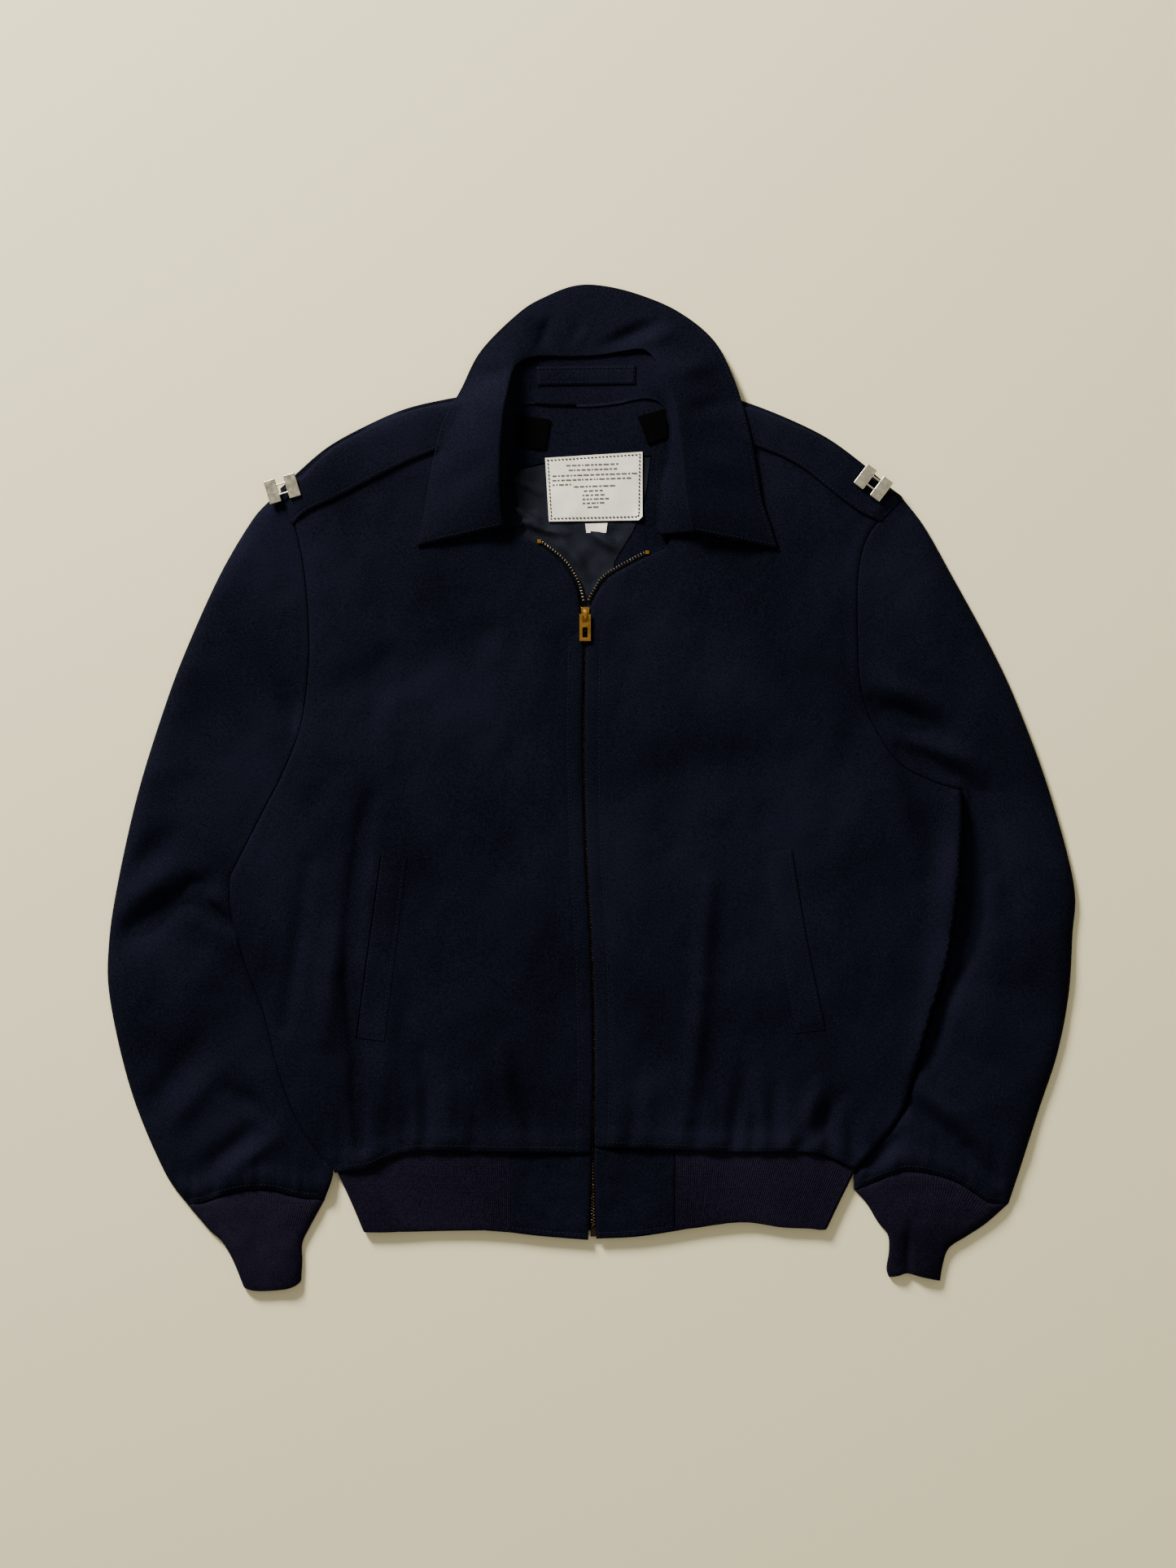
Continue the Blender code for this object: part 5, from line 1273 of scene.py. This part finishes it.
def round_line(table, gap):
    """A line round a small piece, a gap inside its edge."""
    loop = inset(np.array(table, float), gap)
    return np.vstack([smooth((a, b), 20) for a, b in zip(loop, np.roll(loop, -1, axis=0))])


def part_way(pair, share, count=40):
    """A line between the two edges of a strip."""
    return between(*(smooth(v, count) for v in pair), share)


sew("stitches_collar", (fall[-1][:, :2] - out * 3.0)[3:-3], "cloth_collar")
for name, k, side in (("right", 0, 1), ("left", -1, -1)):
    sew("stitches_leaf_" + name, beside(fall[5:, k], 3.0 * side)[2:-1], "cloth_collar")
for name, side, waist_line in (("right", -1, WAIST_RIGHT), ("left", 1, WAIST_LEFT)):
    cloth = "cloth_front_" + name
    sew("stitches_front_" + name, beside(closed[3:-1], (ZIP_GAP + SEAM + TOPSTITCH) * side), cloth)
    sew("stitches_waist_" + name, smooth(waist_line, 160)[8:-8] + (0, 3.4), cloth)
for name, pair in (("welt_right", WELT_RIGHT), ("welt_left", WELT_LEFT)):
    sew("stitches_" + name, part_way(pair, 0.11)[1:-1], "cloth_" + name)
    sew("stitches_inner_" + name, part_way(pair, 0.89)[1:-1], "cloth_" + name)
for name, pair in (("strap_right", STRAP_RIGHT), ("strap_left", STRAP_LEFT)):
    sew("stitches_" + name, part_way(pair, 0.07), "cloth_" + name)
for name, seam in (("right", CUFF_SEAM_RIGHT), ("left", CUFF_SEAM_LEFT)):
    sew("stitches_cuff_" + name, smooth(seam, 90)[5:-5] + (0, 4.2), "cloth_sleeve_" + name)
for name, pair in (("right", TAB_RIGHT), ("left", TAB_LEFT)):
    sew("stitches_tab_" + name, part_way(pair, 0.938, 20), "cloth_waist_tab_" + name)
sew("stitches_stand", stand[-3][60:135], "cloth_stand")
sew("stitches_facing", smooth(((52, 263), (52.5, 240), (54, 222), (54, 205)), 60), "cloth_facing")
sew("stitches_label", round_line(LABEL, 3.2), "woven_label", "dark_thread", 2.0, 2.9, 0.55, 0.2)

# %% Grey dashes on the label, in place of its print, and the loop's stitches
rng = np.random.default_rng(7)
dashes = []
for x, end, y in LABEL_ROWS:
    while x < end:
        long = rng.uniform(1.2, 4.6)
        dashes.append((x + long / 2, y + 0.035 * x, long))
        x += long + rng.uniform(0.7, 1.2)
block = np.array([(x, y, z) for z in (0, 1) for x, y in CORNERS])
heights = top_at(["woven_label"], np.array(dashes))
forms = [block * (long / 2, DASH_HALF, 0.1) + (x, y, z - 0.02) for (x, y, long), z in zip(dashes, heights)]
joined("label_rows", forms, closed_faces(2, 4), "print_grey")
print("dashes on the label:", len(dashes))
sew("stitches_hanger", round_line(HANGER, 2.6), "cloth_hanger")

# %% [markdown]
# ## Floor, light and camera
# The garment is photographed from straight above on a pale floor. One large soft light from the upper left
# shapes the folds, and a weak fill keeps the navy cloth readable. The camera looks down from three metres.

# %% Floor and light
floor_mesh = bpy.data.meshes.new("floor")
floor_corners = [(x * FLOOR_HALF, y * FLOOR_HALF, FLOOR_TOP) for x, y in CORNERS]
floor_mesh.from_pydata(floor_corners, [], [(0, 1, 2, 3)])
floor = linked("floor", floor_mesh)
pale = bpy.data.materials.new("pale_floor")
pale.use_nodes = True
look = pale.node_tree.nodes["Principled BSDF"].inputs
look["Base Color"].default_value = (0.77, 0.70, 0.455, 1)
look["Roughness"].default_value = 0.95
look["Specular IOR Level"].default_value = 0.1
floor_mesh.materials.append(pale)


def area_light(name, place, aim, size, power, colour):
    light = bpy.data.lights.new(name, "AREA")
    light.shape, light.size, light.energy, light.color = "DISK", size, power, colour
    item = linked(name, light)
    item.location = place
    item.rotation_euler = (Vector(aim) - Vector(place)).to_track_quat("-Z", "Y").to_euler()


area_light("window", (-1.8, 2.7, 1.5), (0, 0.1, 0), 1.0, WINDOW_POWER, (0.985, 0.97, 0.915))
area_light("fill", (1.5, -1.2, 2.6), (0, 0, 0), 2.5, FILL_POWER, (1.0, 0.96, 0.84))
world = bpy.data.worlds.new("studio")
world.use_nodes = True
world.node_tree.nodes["Background"].inputs["Color"].default_value = (1.0, 0.965, 0.85, 1)
world.node_tree.nodes["Background"].inputs["Strength"].default_value = ROOM_LIGHT
bpy.context.scene.world = world
print("light powers, watts:", WINDOW_POWER, FILL_POWER)

# %% Camera
lens = bpy.data.cameras.new("camera")
lens.sensor_fit = "VERTICAL"
lens.angle_y = 2 * math.atan(VIEW_TALL / 2 / (VIEW_HEIGHT - CLOTH_MIDDLE))
camera = linked("camera", lens)
camera.location = (*VIEW_CENTRE, VIEW_HEIGHT)
bpy.context.scene.camera = camera
